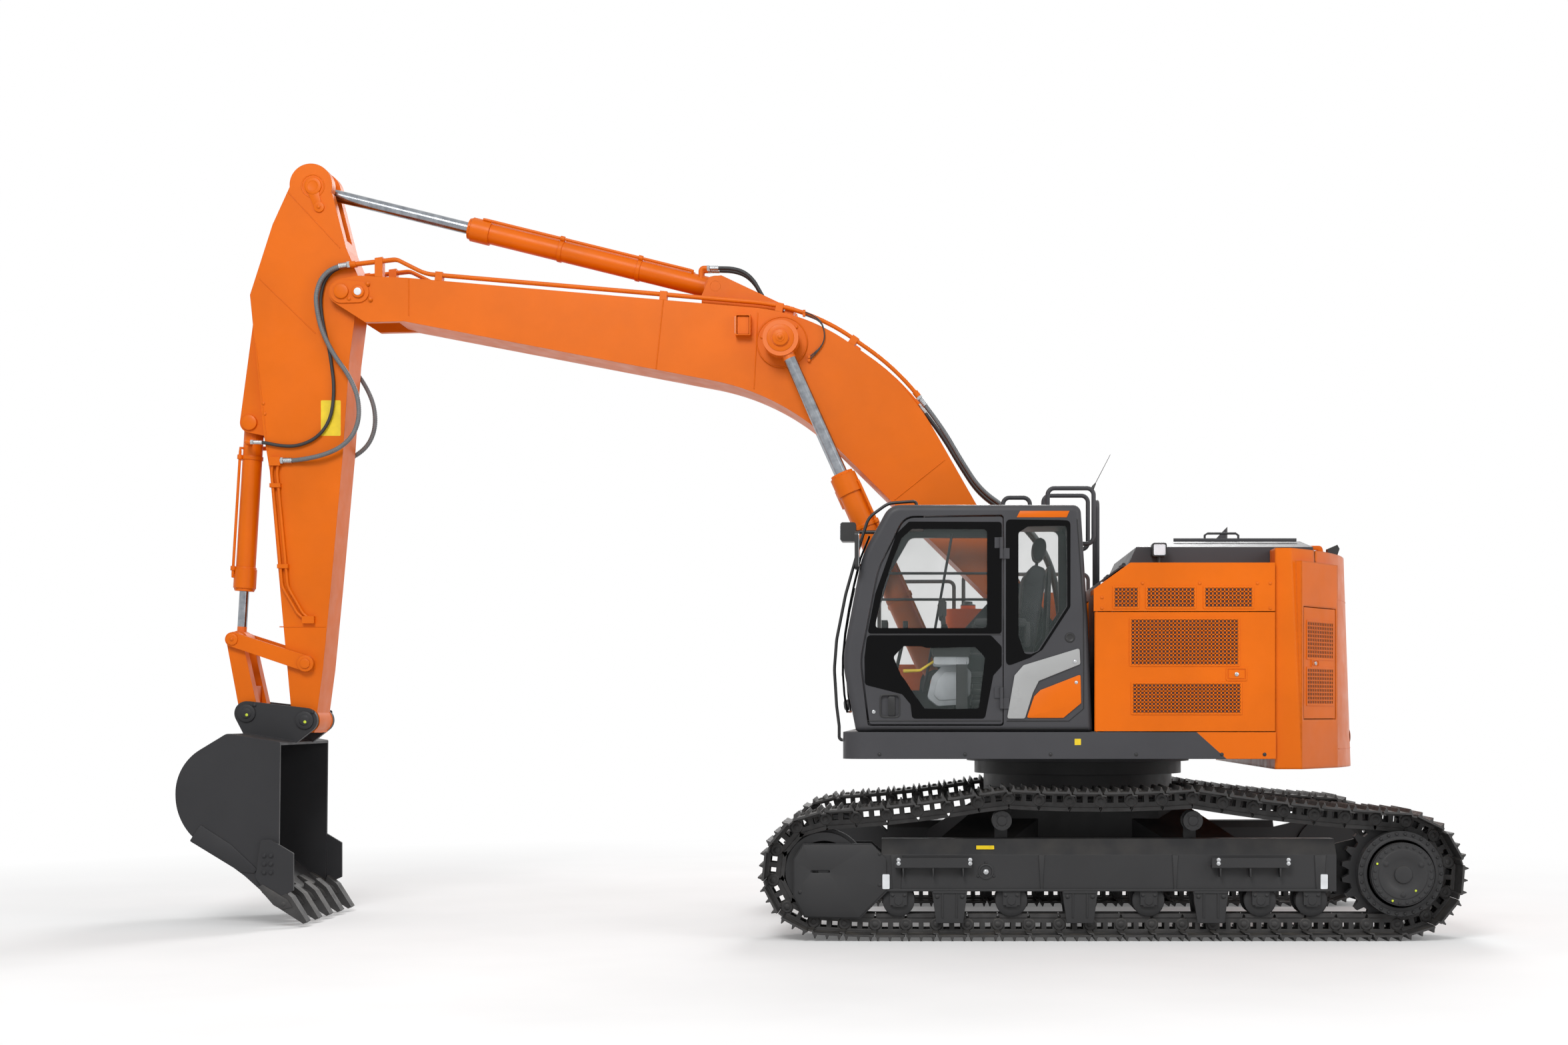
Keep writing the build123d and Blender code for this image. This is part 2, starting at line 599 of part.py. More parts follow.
def counterweight():
    """Cast block inside the tail circle, with a flat left corner whose bay has a door."""
    side = COUNTERWEIGHT_SIDE
    front = HOUSE_SEAM_X + SEAT_GAP
    weight = block(front, TAIL_R + 10, -side, side, COUNTERWEIGHT_BOTTOM, COUNTERWEIGHT_TOP) & tail_cone()
    plane, length = corner_plane()
    corner = plane * Pos(length / 2, 150, 0) * Box(length, 300, 10 * TAIL_R)
    weight += corner & block(front, TAIL_R, -side, -700, COUNTERWEIGHT_BOTTOM, COUNTERWEIGHT_TOP - 90)
    weight -= plane * Pos(length / 2, -100, 0) * Box(length + 200, 200, 10 * TAIL_R)
    bay_low, bay_high = CORNER_DOOR_Z
    bay = Box(length - 2 * CORNER_DOOR_MARGIN, 2 * CORNER_BAY_DEPTH, bay_high - bay_low)
    weight -= plane * Pos(length / 2, 0, (bay_low + bay_high) / 2) * bay
    weight -= block(HOUSE_SEAM_X - 1, HOOD_REAR_X + 2 * PANEL_GAP, -HOOD_EDGE_Y - 2 * PANEL_GAP,
                    HOOD_RIGHT_Y + 2 * PANEL_GAP, HOUSE_TOP, HOOD_TOP + 500)
    x, y = corner_door_axis()
    weight -= plane * Pos(x, y, (bay_low + bay_high) / 2) * Cylinder(
        DOOR_PIN_R + PIN_GAP, bay_high - bay_low + 2 * DOOR_PIN_LENGTH)
    return weight


def corner_door_axis():
    """Hinge line of the corner door, in the corner's plane: half a wall inside its rear edge."""
    length = corner_plane()[1]
    return length - CORNER_DOOR_MARGIN - PANEL_GAP - PANEL_WALL / 2, PANEL_WALL / 2


def counterweight_left_door():
    """Door of the tail's corner bay, hinged at its rear edge."""
    plane = corner_plane()[0]
    low, high = CORNER_DOOR_Z[0] + PANEL_GAP, CORNER_DOOR_Z[1] - PANEL_GAP
    start, (end, middle_y) = CORNER_DOOR_MARGIN + PANEL_GAP, corner_door_axis()
    door = Pos((start + end) / 2, middle_y, (low + high) / 2) * Box(end - start, PANEL_WALL, high - low)
    door += pin_edge(end, middle_y, low, high, PANEL_WALL)
    for slot_low, slot_high in ((1665, 1900), (2010, 2225)):
        pitch = (slot_high - slot_low) / 6
        for bar in range(6):
            middle = slot_low + (bar + 0.5) * pitch
            door -= Pos(start + 150, 0, middle) * Box(200, 3 * PANEL_WALL, pitch * 0.55)
    return plane * door


def engine_block():
    return block(430, 1180, -1000, 250, DECK_TOP + SEAT_GAP, 2330)


def grille(x_low, x_high, z_low, z_high, bars):
    """Openings of a grille: a row of long slots."""
    pitch = (z_high - z_low) / bars
    slots = Part()
    for bar in range(bars):
        low = z_low + bar * pitch
        slots += block(x_low, x_high, -DECK_HALF_WIDTH - 60, -DECK_HALF_WIDTH + 60, low, low + pitch * 0.6)
    return slots


def upper_left_panel():
    """Fixed panel over the left door, turned over the top as far as the hood."""
    outer = -DECK_HALF_WIDTH
    front, rear = HOUSE_FRONT_X, HOUSE_SEAM_X - PANEL_GAP
    side = ((front, HOUSE_SEAM_Z), (front, HOUSE_SLOPE_Z), (HOUSE_SLOPE_X, HOUSE_TOP), (rear, HOUSE_TOP),
            (rear, HOUSE_SEAM_Z))
    below = ((front - ROOM, HOUSE_SEAM_Z - ROOM), (front - ROOM, HOUSE_SLOPE_Z - 1.24 * PANEL_WALL),
             (HOUSE_SLOPE_X + 0.32 * PANEL_WALL, HOUSE_TOP - PANEL_WALL), (rear + ROOM, HOUSE_TOP - PANEL_WALL),
             (rear + ROOM, HOUSE_SEAM_Z - ROOM))
    panel = prism_xz(outline(side), outer, -HOOD_EDGE_Y - PANEL_GAP)
    panel -= prism_xz(outline(below), outer + PANEL_WALL, ROOM - HOOD_EDGE_Y - PANEL_GAP)
    windows = ((150, 305, 2340, 2468), (380, 702, 2340, 2468), (786, 1102, 2340, 2468))
    for x_low, x_high, z_low, z_high in windows:
        panel -= grille(x_low, x_high, z_low, z_high, 4)
    return panel - side_door_pin_bore(HOUSE_FRONT_X)


SIDE_DOOR_Z = (DECK_TOP + PANEL_GAP, HOUSE_SEAM_Z - PANEL_GAP)
SIDE_DOOR_Y = DECK_HALF_WIDTH - PANEL_WALL / 2


def side_door_axis_x(front):
    return front + PANEL_GAP + PANEL_WALL / 2


def side_door(front, grilles):
    """Side door of the engine bay, drawn on the left, hinged on pins at its front edge."""
    low, high = SIDE_DOOR_Z
    hinge_x = side_door_axis_x(front)
    door = block(hinge_x, HOUSE_SEAM_X - PANEL_GAP, -DECK_HALF_WIDTH, PANEL_WALL - DECK_HALF_WIDTH, low, high)
    for x_low, x_high, z_low, z_high, bars in grilles:
        door -= grille(x_low, x_high, z_low, z_high, bars)
    return door + pin_edge(hinge_x, -SIDE_DOOR_Y, low, high, PANEL_WALL)


def left_service_door():
    return side_door(HOUSE_FRONT_X, ((265, 1008, 1931, 2249, 8), (277, 1028, 1593, 1796, 6)))


def right_service_door():
    return mirror(side_door(TANK_REAR_X, ((480, 1100, 1931, 2249, 8),)), about=Plane.XZ)


def side_door_pin_bore(front):
    """Bores above and below a side door, drawn on the left."""
    low, high = SIDE_DOOR_Z
    return Pos(side_door_axis_x(front), -SIDE_DOOR_Y, (low + high) / 2) * Cylinder(
        DOOR_PIN_R + PIN_GAP, high - low + 2 * DOOR_PIN_LENGTH + 2 * ROOM)


def upper_right_panel():
    """Fixed cover over the right door and beside the hood."""
    outer, inner = DECK_HALF_WIDTH, HOOD_RIGHT_Y + PANEL_GAP
    section = ((outer, HOUSE_SEAM_Z), (outer, HOUSE_TOP), (inner, HOUSE_TOP),
               (inner, HOUSE_TOP - PANEL_WALL), (outer - PANEL_WALL, HOUSE_TOP - PANEL_WALL),
               (outer - PANEL_WALL, HOUSE_SEAM_Z))
    panel = prism_yz(outline(section), TANK_REAR_X + PANEL_GAP, HOUSE_SEAM_X - PANEL_GAP)
    return panel - mirror(side_door_pin_bore(TANK_REAR_X), about=Plane.XZ)


COWL_SLOPE = ((62.0, HOUSE_TOP - 118.0), (225.0, HOUSE_TOP))
HOOD_HINGES_Y = (-1000.0, 260.0)
HOOD_HINGE = (HOOD_FRONT_X - HOOD_NOSE - HINGE_R - 2 * ROOM, HOUSE_TOP + HINGE_PROUD)


def housing_frame():
    """Bulkheads in front of the engine bay, and the cowl that carries the hood's hinges."""
    wall = PANEL_WALL
    low = DECK_TOP + SEAT_GAP
    reach = DECK_HALF_WIDTH - wall - SEAT_GAP
    plate = 12.0
    frame = block(HOUSE_FRONT_X + 60, HOUSE_FRONT_X + 60 + plate, -reach, -320, low, 2460)
    frame += block(TANK_REAR_X + 60, TANK_REAR_X + 60 + plate, HOOD_RIGHT_Y - 20, reach, low,
                   HOUSE_TOP - wall - SEAT_GAP)
    cowl = ((62, 2440), *COWL_SLOPE, (402, HOUSE_TOP), (402, HOUSE_TOP - plate),
            (229, HOUSE_TOP - plate), (74, 2522), (74, 2440))
    frame += prism_xz(outline(cowl), SEAT_GAP - HOOD_EDGE_Y - PANEL_GAP, HOOD_RIGHT_Y)
    hinge_x = HOOD_HINGE[0]
    for y in HOOD_HINGES_Y:
        frame += disc_y(HOOD_HINGE, HINGE_R, y - HINGE_LENGTH, y - SEAT_GAP)
        frame += block(hinge_x - 30, hinge_x, y - HINGE_LENGTH, y - SEAT_GAP, HOUSE_TOP, HOUSE_TOP + HINGE_LEAF)
    return frame


CAB_HINGES_Z = (1695.0, 2750.0)
CAB_HINGE = (DOOR_REAR_X - PANEL_GAP - 10, CAB_OUT_Y - HINGE_PROUD)
CAB_HINGE_PLANE = Plane(origin=(*CAB_HINGE, 0), x_dir=(1, 0, 0), z_dir=(0, 0, 1))


def cab_outline():
    """Side view of the cab: bowed front, flat floor, roof and rear."""
    front = ((-1666, CAB_FLOOR_Z), (-1765, 1960), (-1625, 2700), (-1430, 3070 - 12), (CAB_ROOF_X, CAB_ROOF_Z),
             (CAB_REAR_X, CAB_REAR_BEND_Z), (0, CAB_FLOOR_Z))
    return front


CAB_EDGE_RADII = (30, 600, 600, 130, 60, 300, 20)
# windows: outline in X and Z, corner radius, outer and inner wall face in Y
LEFT_WALL = (CAB_OUT_Y, CAB_OUT_Y + CAB_WALL)
RIGHT_WALL = (CAB_IN_Y - CAB_WALL, CAB_IN_Y)
REAR_SIDE_WINDOW = ((-532, 2020), (-560, 2948), (-182, 2948), (-182, 2345), (-395, 2020))
RIGHT_WINDOW = ((-1575, 2180), (-1440, 2640), (-1290, 2900), (-640, 2900), (-640, 1760), (-1560, 1760))
SIDE_WINDOWS = ((REAR_SIDE_WINDOW, 45, LEFT_WALL), (REAR_SIDE_WINDOW, 45, RIGHT_WALL), (RIGHT_WINDOW, 60, RIGHT_WALL))
# front, rear and roof windows: low and high X, edge beside them in Y, low and high Z
END_WINDOWS = ((-1900, -1380, 75, 1620, 2890), (-220, 60, 110, 2150, 2900), (-1180, -640, 180, 2950, 3200))


def end_window(row, gap):
    x_low, x_high, beside, z_low, z_high = row
    return block(x_low + gap, x_high - gap, CAB_OUT_Y + beside + gap, CAB_IN_Y - beside - gap,
                 z_low + gap, z_high - gap)


def cab_frame():
    """Hollow cab: floor, roof, pillars and walls with the windows cut."""
    face = outline(cab_outline(), radius=CAB_EDGE_RADII)
    shell = prism_xz(face, CAB_OUT_Y, CAB_IN_Y)
    beside_middle = (CAB_IN_Y - CAB_OUT_Y) / 2 - CAB_WALL
    roof_edges = shell.edges().filter_by(lambda edge: edge.center().Z > CAB_ROOF_Z - 68
                                         and edge.geom_type == GeomType.LINE
                                         and abs(edge.center().Y - SEAT_MIDDLE_Y) > beside_middle)
    shell = fillet(roof_edges, 45)
    room = ((-1600, CAB_FLOOR_Z + CAB_FLOOR), (-1700, 1960), (-1572, 2680), (-1390, 2990), (-140, 2990),
            (-90, 2270), (-60, CAB_FLOOR_Z + CAB_FLOOR))
    shell -= prism_xz(outline(room, radius=(30, 560, 560, 100, 40, 300, 20)), CAB_OUT_Y + CAB_WALL,
                      CAB_IN_Y - CAB_WALL)
    shell -= prism_xz(outline(door_opening(), radius=(20, 500, 500, 120, 20, 20)), CAB_OUT_Y - 10,
                      CAB_OUT_Y + CAB_WALL + ROOM)
    for window, radius, (outer, inner) in SIDE_WINDOWS:
        shell -= prism_xz(outline(window, radius=radius), outer - ROOM, inner + ROOM)
    for row in END_WINDOWS:
        shell -= end_window(row, 0)
    for z in CAB_HINGES_Z:
        shell += Pos(0, 0, z) * hinge_fixed(CAB_HINGE_PLANE)
    return shell + window_bars()


def door_opening():
    return ((-1583, 1500), (-1640, 1960), (-1515, 2600), (-1330, 2975), (DOOR_REAR_X, 2985), (DOOR_REAR_X, 1500))


DOOR_WALL = 40.0
# the door's two windows: outline in X and Z, corner radius
DOOR_WINDOWS = ((((-1553, 2175), (-1430, 2650), (-1310, 2912), (-730, 2915), (-730, 2175)), 40),
                (((-1350, 1850), (-1450, 2068), (-745, 2068), (-745, 1610), (-1226, 1610)), 50))


def cab_door():
    """Door leaf with its two windows, a recessed handle and the moving halves of its hinges."""
    edge = ((-1570, 1512), (-1626, 1960), (-1502, 2600), (-1322, 2962), (DOOR_REAR_X - PANEL_GAP, 2972),
            (DOOR_REAR_X - PANEL_GAP, 1512))
    door = prism_xz(outline(edge, radius=(20, 490, 490, 115, 20, 20)), CAB_OUT_Y, CAB_OUT_Y + DOOR_WALL)
    for window, radius in DOOR_WINDOWS:
        door -= prism_xz(outline(window, radius=radius), CAB_OUT_Y - ROOM, CAB_OUT_Y + DOOR_WALL + ROOM)
    door -= prism_xz(Pos(-1427, 1640) * RectangleRounded(130, 150, 30), CAB_OUT_Y - ROOM, CAB_OUT_Y + 18)
    door += prism_xz(Pos(-1415, 1640) * RectangleRounded(46, 140, 12), CAB_OUT_Y + 4, CAB_OUT_Y + 18)
    for z in CAB_HINGES_Z:
        door += Pos(0, 0, z) * hinge_moving(CAB_HINGE_PLANE)
    return door


def pane(window, radius, outer):
    """A pane inside its window, just clear of the edge and flush with the outer face."""
    face = offset(outline(window, radius=radius), amount=-SEAT_GAP)
    return prism_xz(face, outer + PANE_DEPTH, outer + PANE_DEPTH + GLASS)


def cab_door_glass():
    return Part() + [pane(window, radius, CAB_OUT_Y) for window, radius in DOOR_WINDOWS]


def cab_glass():
    """The fixed panes; the front, rear and roof panes follow the cab's bowed outline."""
    face = outline(cab_outline(), radius=CAB_EDGE_RADII)
    skin = prism_xz(offset(face, amount=-PANE_DEPTH) - offset(face, amount=-PANE_DEPTH - GLASS),
                    CAB_OUT_Y, CAB_IN_Y)
    panes = Part() + [skin & end_window(row, SEAT_GAP) for row in END_WINDOWS]
    for window, radius, (outer, inner) in SIDE_WINDOWS:
        near = outer if outer == CAB_OUT_Y else inner - GLASS - 2 * PANE_DEPTH
        panes += pane(window, radius, near)
    return panes


# guard bars behind the right window: height, front and rear end
GUARD_BARS = ((2438, -1560, -620), (2633, -1500, -620))
GUARD_BAR_R = 10.0


def window_bars():
    """Guard bars behind the right window, let into its pillars, and the sloped bar in front of them."""
    y = CAB_IN_Y - CAB_WALL - GUARD_BAR_R + ROOM
    bars = Part()
    for z, front, rear in GUARD_BARS:
        bars += tube(((front, y, z), (rear, y, z)), GUARD_BAR_R)
    return bars + tube(((-976, y, 2930), (-1190, y, 1740)), GUARD_BAR_R)


SEAT_TOP = 2020.0


def operator_seat():
    """Suspension base, cushion, back and headrest, and two armrests."""
    floor = CAB_FLOOR_Z + CAB_FLOOR + SEAT_GAP
    middle = SEAT_MIDDLE_Y
    base = block(-860, -480, middle - 170, middle + 170, floor, 1850)
    cushion = block(-950, -450, middle - 250, middle + 250, 1850, SEAT_TOP)
    cushion = fillet(cushion.edges().filter_by(Axis.Y), 50)
    back = ((-540, 1960), (-400, 1960), (-290, 2660), (-400, 2690), (-480, 2560))
    rest = prism_xz(outline(back, radius=35), middle - 235, middle + 235)
    head = prism_xz(Pos(-345, 2760) * Rot(0, 0, -8) * RectangleRounded(95, 190, 40), middle - 140, middle + 140)
    seat = base + cushion + rest + head
    for y in (middle - 310, middle + 310):
        seat += prism_xz(Pos(-645, 2235) * RectangleRounded(370, 60, 25), y - 40, y + 40)
        seat += prism_xz(Pos(-450, 2150) * RectangleRounded(50, 190, 20), min(y, middle), max(y, middle))
    return seat


def cab_controls():
    """Side consoles with their joysticks, the monitor on its post, and the travel levers with pedals."""
    floor = CAB_FLOOR_Z + CAB_FLOOR + SEAT_GAP
    spread = (CAB_IN_Y - CAB_OUT_Y) / 2 - 130
    left, right = SEAT_MIDDLE_Y - spread, SEAT_MIDDLE_Y + spread
    controls = Part()
    for y in (left, right):
        side = ((-1130, 1990), (-1130, 2080), (-1040, 2150), (-860, 2150), (-860, 1990))
        console = prism_xz(outline(side, radius=22), y - 50, y + 50)
        console += block(-960, -880, y - 40, y + 40, floor, 2000)
        console += tube(((-1040, y, 2120), (-1050, y, 2290)), 13)
        console += Pos(-1052, y, 2330) * Box(48, 44, 100)
        controls += console
    post_y = CAB_IN_Y - 160
    post = tube(((-1480, post_y, floor), (-1480, post_y, 2090)), 18)
    controls += post + prism_yz(Pos(post_y - 20, 2180) * RectangleRounded(210, 190, 20), -1500, -1455)
    for y in (SEAT_MIDDLE_Y - 75, SEAT_MIDDLE_Y + 75):
        controls += tube(((-1380, y, floor), (-1380, y, 1610), (-1420, y, 1760), (-1330, y, 2160)), 12)
        controls += Pos(-1322, y, 2200) * Cylinder(18, 110)
        controls += prism_xz(outline(((-1500, 1600), (-1300, floor), (-1290, floor + 14), (-1490, 1614))),
                             y - 55, y + 55)
    return controls


def tanks():
    """Hydraulic tank and fuel tank on the right side."""
    low = DECK_TOP + SEAT_GAP
    fuel = block(-1010, -300, TANK_INNER_Y, TANK_OUTER_Y, low, FUEL_TOP)
    oil = block(-280, TANK_REAR_X, TANK_INNER_Y, TANK_OUTER_Y, low, OIL_TOP)
    tanks = fillet(fuel.edges().filter_by(Axis.Z), 60) + fillet(oil.edges().filter_by(Axis.Z), 60)
    cap_y = (TANK_INNER_Y + TANK_OUTER_Y) / 2
    for x, top in ((-820, FUEL_TOP), (-60, OIL_TOP)):
        tanks += Pos(x, cap_y, top + 22) * Cylinder(62, 44)
    return tanks


def toolbox():
    wall = TOOLBOX_WALL
    box = block(TOOLBOX_FRONT_X, TOOLBOX_REAR_X, TOOLBOX_INNER_Y, TOOLBOX_OUTER_Y, DECK_TOP + SEAT_GAP, TOOLBOX_TOP)
    box -= block(TOOLBOX_FRONT_X + wall, TOOLBOX_REAR_X - wall, TOOLBOX_INNER_Y + wall, TOOLBOX_OUTER_Y - wall,
                 DECK_TOP + wall, TOOLBOX_TOP + ROOM)
    for y in LID_HINGES_Y:
        box += disc_y(LID_HINGE, HINGE_R, y - HINGE_LENGTH, y - SEAT_GAP)
        box += block(LID_HINGE[0] - 8, LID_HINGE[0] + 8, y - HINGE_LENGTH, y - SEAT_GAP, TOOLBOX_TOP - 30,
                     LID_HINGE[1])
    return box


def toolbox_lid():
    low = TOOLBOX_TOP + SEAT_GAP
    lid = block(TOOLBOX_FRONT_X - 5, TOOLBOX_REAR_X - 20, TOOLBOX_INNER_Y - 5, TOOLBOX_OUTER_Y + 5, low,
                TOOLBOX_TOP + LID_PLATE)
    for y in LID_HINGES_Y:
        lid += disc_y(LID_HINGE, HINGE_R, y, y + HINGE_LENGTH)
        lid += block(LID_HINGE[0] - 30, LID_HINGE[0], y, y + HINGE_LENGTH, LID_HINGE[1] - 4, LID_HINGE[1] + 4)
    return lid


LID_HINGE = (TOOLBOX_REAR_X, TOOLBOX_TOP + 16)
LID_HINGES_Y = (850.0, 1300.0)


def engine_hood():
    """Wide crowned hood over the engine, with a sloped nose, hinged along its front edge."""
    base = HOUSE_TOP + SEAT_GAP
    crown = HOOD_TOP + HOOD_CROWN
    nose = HOOD_FRONT_X - HOOD_NOSE
    wall = 20.0

    def crowned(inset):
        section = ((inset - HOOD_EDGE_Y, base), (inset - HOOD_EDGE_Y, HOOD_TOP - inset), (-700, crown - inset),
                   (HOOD_RIGHT_Y - inset, crown - inset), (HOOD_RIGHT_Y - inset, base))
        side = ((nose + inset, base), (HOOD_FRONT_X + inset, HOOD_TOP - inset),
                (HOOD_FRONT_X + 260 + inset, crown - inset), (HOOD_REAR_X - inset, crown - inset),
                (HOOD_REAR_X - inset, base))
        body = prism_yz(outline(section), nose, HOOD_REAR_X)
        return body & prism_xz(outline(side), -HOOD_EDGE_Y, HOOD_RIGHT_Y)

    hood = crowned(0) - crowned(wall)
    for y in HOOD_HINGES_Y:
        hood += disc_y(HOOD_HINGE, HINGE_R, y, y + HINGE_LENGTH)
        hood += block(HOOD_HINGE[0], nose + wall, y, y + HINGE_LENGTH, base + ROOM, base + ROOM + HINGE_LEAF)
    return hood


# Rails, mirrors, lamps and the exhaust

RAIL_R = 16.0
RAIL_BEND = 50.0
CAB_RAILS_Y = (CAB_OUT_Y + 310.0, CAB_IN_Y - 140.0)
FRONT_RAIL_TOP = 2700.0


def cab_rear_x(z):
    """The cab's rear face at a height over its lower bend."""
    share = (z - CAB_REAR_BEND_Z) / (CAB_ROOF_Z - CAB_REAR_BEND_Z)
    return CAB_REAR_X + (CAB_ROOF_X - CAB_REAR_X) * share


def handrails():
    """Rails on the cab's roof, behind the cab, in front of the toolbox and on the tanks."""
    roof = CAB_ROOF_Z + SEAT_GAP
    low = 2806
    rails = Part()
    for y in CAB_RAILS_Y:
        rails += tube(((-300, y, roof), (-300, y, 3205), (30, y, 3205), (30, y, low),
                       (cab_rear_x(low) + 4 * SEAT_GAP, y, low)), RAIL_R, RAIL_BEND)
    rails += tube(((-600, CAB_RAILS_Y[1], roof), (-600, CAB_RAILS_Y[1], 3190), (-400, CAB_RAILS_Y[1], 3190),
                   (-400, CAB_RAILS_Y[1], roof)), RAIL_R, RAIL_BEND)
    seat = moved_line(COWL_SLOPE, SEAT_GAP)
    behind = tube(((104, -600, HOOD_TOP - 300), (104, -600, 3168), (104, -360, 3168), (104, -360, HOOD_TOP - 300)),
                  RAIL_R, RAIL_BEND)
    rails += behind - prism_xz(outline((*seat, (225, 2000), (62, 2000))), -700, -300)
    side = TOOLBOX_OUTER_Y + 5 + SIDE_GAP + RAIL_R
    tank = TANK_OUTER_Y - 30
    rails += tube(((-1560, side, DECK_TOP + SEAT_GAP), (-1560, side, FRONT_RAIL_TOP),
                   (-930, tank, FRONT_RAIL_TOP), (-930, tank, FUEL_TOP + SEAT_GAP)), RAIL_R, RAIL_BEND)
    return rails + tube(((-850, tank, FUEL_TOP + SEAT_GAP), (-850, tank, 2760), (200, tank, 2760),
                         (200, tank, OIL_TOP + SEAT_GAP)), RAIL_R, RAIL_BEND)


STAY_Y = CAB_OUT_Y + 100.0
STAY_R = 11.0


def mirrors():
    """The long stay in front of the cab with the left mirror, and the right mirror on its rail."""
    route = ((-1240, CAB_ROOF_Z + SEAT_GAP), (-1240, 3090), (-1440, 3076), (-1580, 2975), (-1657, 2731),
             (-1742, 2430), (-1806, 2110), (-1822, 1900), (-1806, 1640), (-1788, 1500), (-1788, 1400),
             (DECK_FRONT_X - 2 * SEAT_GAP, 1400))
    stay = tube([(x, STAY_Y, z) for x, z in route], STAY_R, (25, 150, 150, 400, 400, 400, 400, 400, 100, 24))
    left = fillet(block(-1672, -1644, STAY_Y - 215, STAY_Y - 40, 2600, 2862).edges().filter_by(Axis.X), 30)
    left += tube(((-1657, STAY_Y - 50, 2731), (-1657, STAY_Y, 2731)), 9)
    side = TOOLBOX_OUTER_Y + 5 + SIDE_GAP + RAIL_R
    right = fillet(block(-1618, -1590, side - 60, side + 110, 2330, 2590).edges().filter_by(Axis.X), 30)
    right += block(-1590, -1560 - RAIL_R - SEAT_GAP, side - 12, side + 12, 2448, 2472)
    return stay + left + right


def lamps():
    """Work lamp in front of the cab's roof, lamp on the engine housing, and the rear camera."""
    header_x, header_z = -1497, 2935
    header_y = CAB_IN_Y - 130
    cab_lamp = fillet(block(-1805, -1690, header_y - 70, header_y + 70, 2862, 3002).edges().filter_by(Axis.Y), 18)
    cab_lamp += tube(((-1700, header_y, header_z), (header_x - 8, header_y, header_z)), 14)
    seat, lamp_y = HOUSE_TOP + SEAT_GAP, -HOOD_EDGE_Y - 78
    lamp_low = HOUSE_TOP + 54
    house_lamp = block(429, 531, lamp_y - 50, lamp_y + 50, lamp_low, lamp_low + 96)
    house_lamp = fillet(house_lamp.edges().filter_by(Axis.Y), 14)
    house_lamp += Pos(480, lamp_y, (seat + lamp_low + 10) / 2) * Cylinder(16, lamp_low + 10 - seat)
    low, front = COUNTERWEIGHT_TOP + SEAT_GAP, TAIL_R - 278
    side = ((front, low), (front, low + 50), (front + 70, low + 80), (front + 86, low + 50), (front + 70, low))
    camera = prism_xz(outline(side), -745, -665)
    return cab_lamp + house_lamp + camera


EXHAUST_X = 1182.0
EXHAUST_Y = 640.0
EXHAUST_R = 74.0
EXHAUST_TOP = 3089.0
EXHAUST_SLANT = 165.0     # how much lower the front of its mouth is
EXHAUST_SOCKET = 120.0    # closed length over the cover


def exhaust_stack():
    """Stack with a slanted mouth on the right cover."""
    low = HOUSE_TOP + SEAT_GAP
    stack = Cylinder(EXHAUST_R, EXHAUST_TOP - low, align=(Align.CENTER, Align.CENTER, Align.MIN))
    stack += Cylinder(EXHAUST_R + 20, 14, align=(Align.CENTER, Align.CENTER, Align.MIN))
    stack -= Pos(0, 0, EXHAUST_SOCKET) * Cylinder(EXHAUST_R - 5, EXHAUST_TOP - low,
                                                  align=(Align.CENTER, Align.CENTER, Align.MIN))
    mouth = outline(((EXHAUST_X - EXHAUST_R - ROOM, EXHAUST_TOP + ROOM), (EXHAUST_X + EXHAUST_R, EXHAUST_TOP + ROOM),
                     (EXHAUST_X + EXHAUST_R, EXHAUST_TOP), (EXHAUST_X - EXHAUST_R - ROOM, EXHAUST_TOP - EXHAUST_SLANT)))
    return Pos(EXHAUST_X, EXHAUST_Y, low) * stack - prism_xz(mouth, EXHAUST_Y - 200, EXHAUST_Y + 200)


# Boom

BOOM_TOP_BEND = ((-2087.0, 4645.0), (-1310.0, 4101.0))
BOOM_UNDER_BEND = (-2260.0, 4021.0)
BOOM_TIP_TOP = (-5142.0, 4908.0)
BOOM_TIP_UNDER = (-5220.0, 4589.0)
FORK_TOP = ((-5499.0, 4923.0), (-5100.0, 4905.0))
TIP_PLATE = 12.0          # doubling plate on each side of the fork
PIN_CAP = (-5491.0, 4797.0)
BOOM_LAMP = (-2559.0, 4536.0)


def boom_outline(inset):
    """Side view of the boom's box, moved in by the plate's thickness for the hollow."""
    foot_top = (-400.0 - 1.2 * inset, 2500.0 + 3 * inset)
    foot_low = (-575.0 - 2 * inset, 2352.0 + 5 * inset)
    return ((BOOM_TIP_TOP[0] + 2 * inset, BOOM_TIP_TOP[1] - inset),
            (BOOM_TOP_BEND[0][0] - 0.3 * inset, BOOM_TOP_BEND[0][1] - inset),
            (BOOM_TOP_BEND[1][0] - 0.8 * inset, BOOM_TOP_BEND[1][1] - 0.8 * inset),
            foot_top, foot_low,
            (BOOM_UNDER_BEND[0] + 0.4 * inset, BOOM_UNDER_BEND[1] + inset),
            (BOOM_TIP_UNDER[0] + 2 * inset, BOOM_TIP_UNDER[1] + inset))


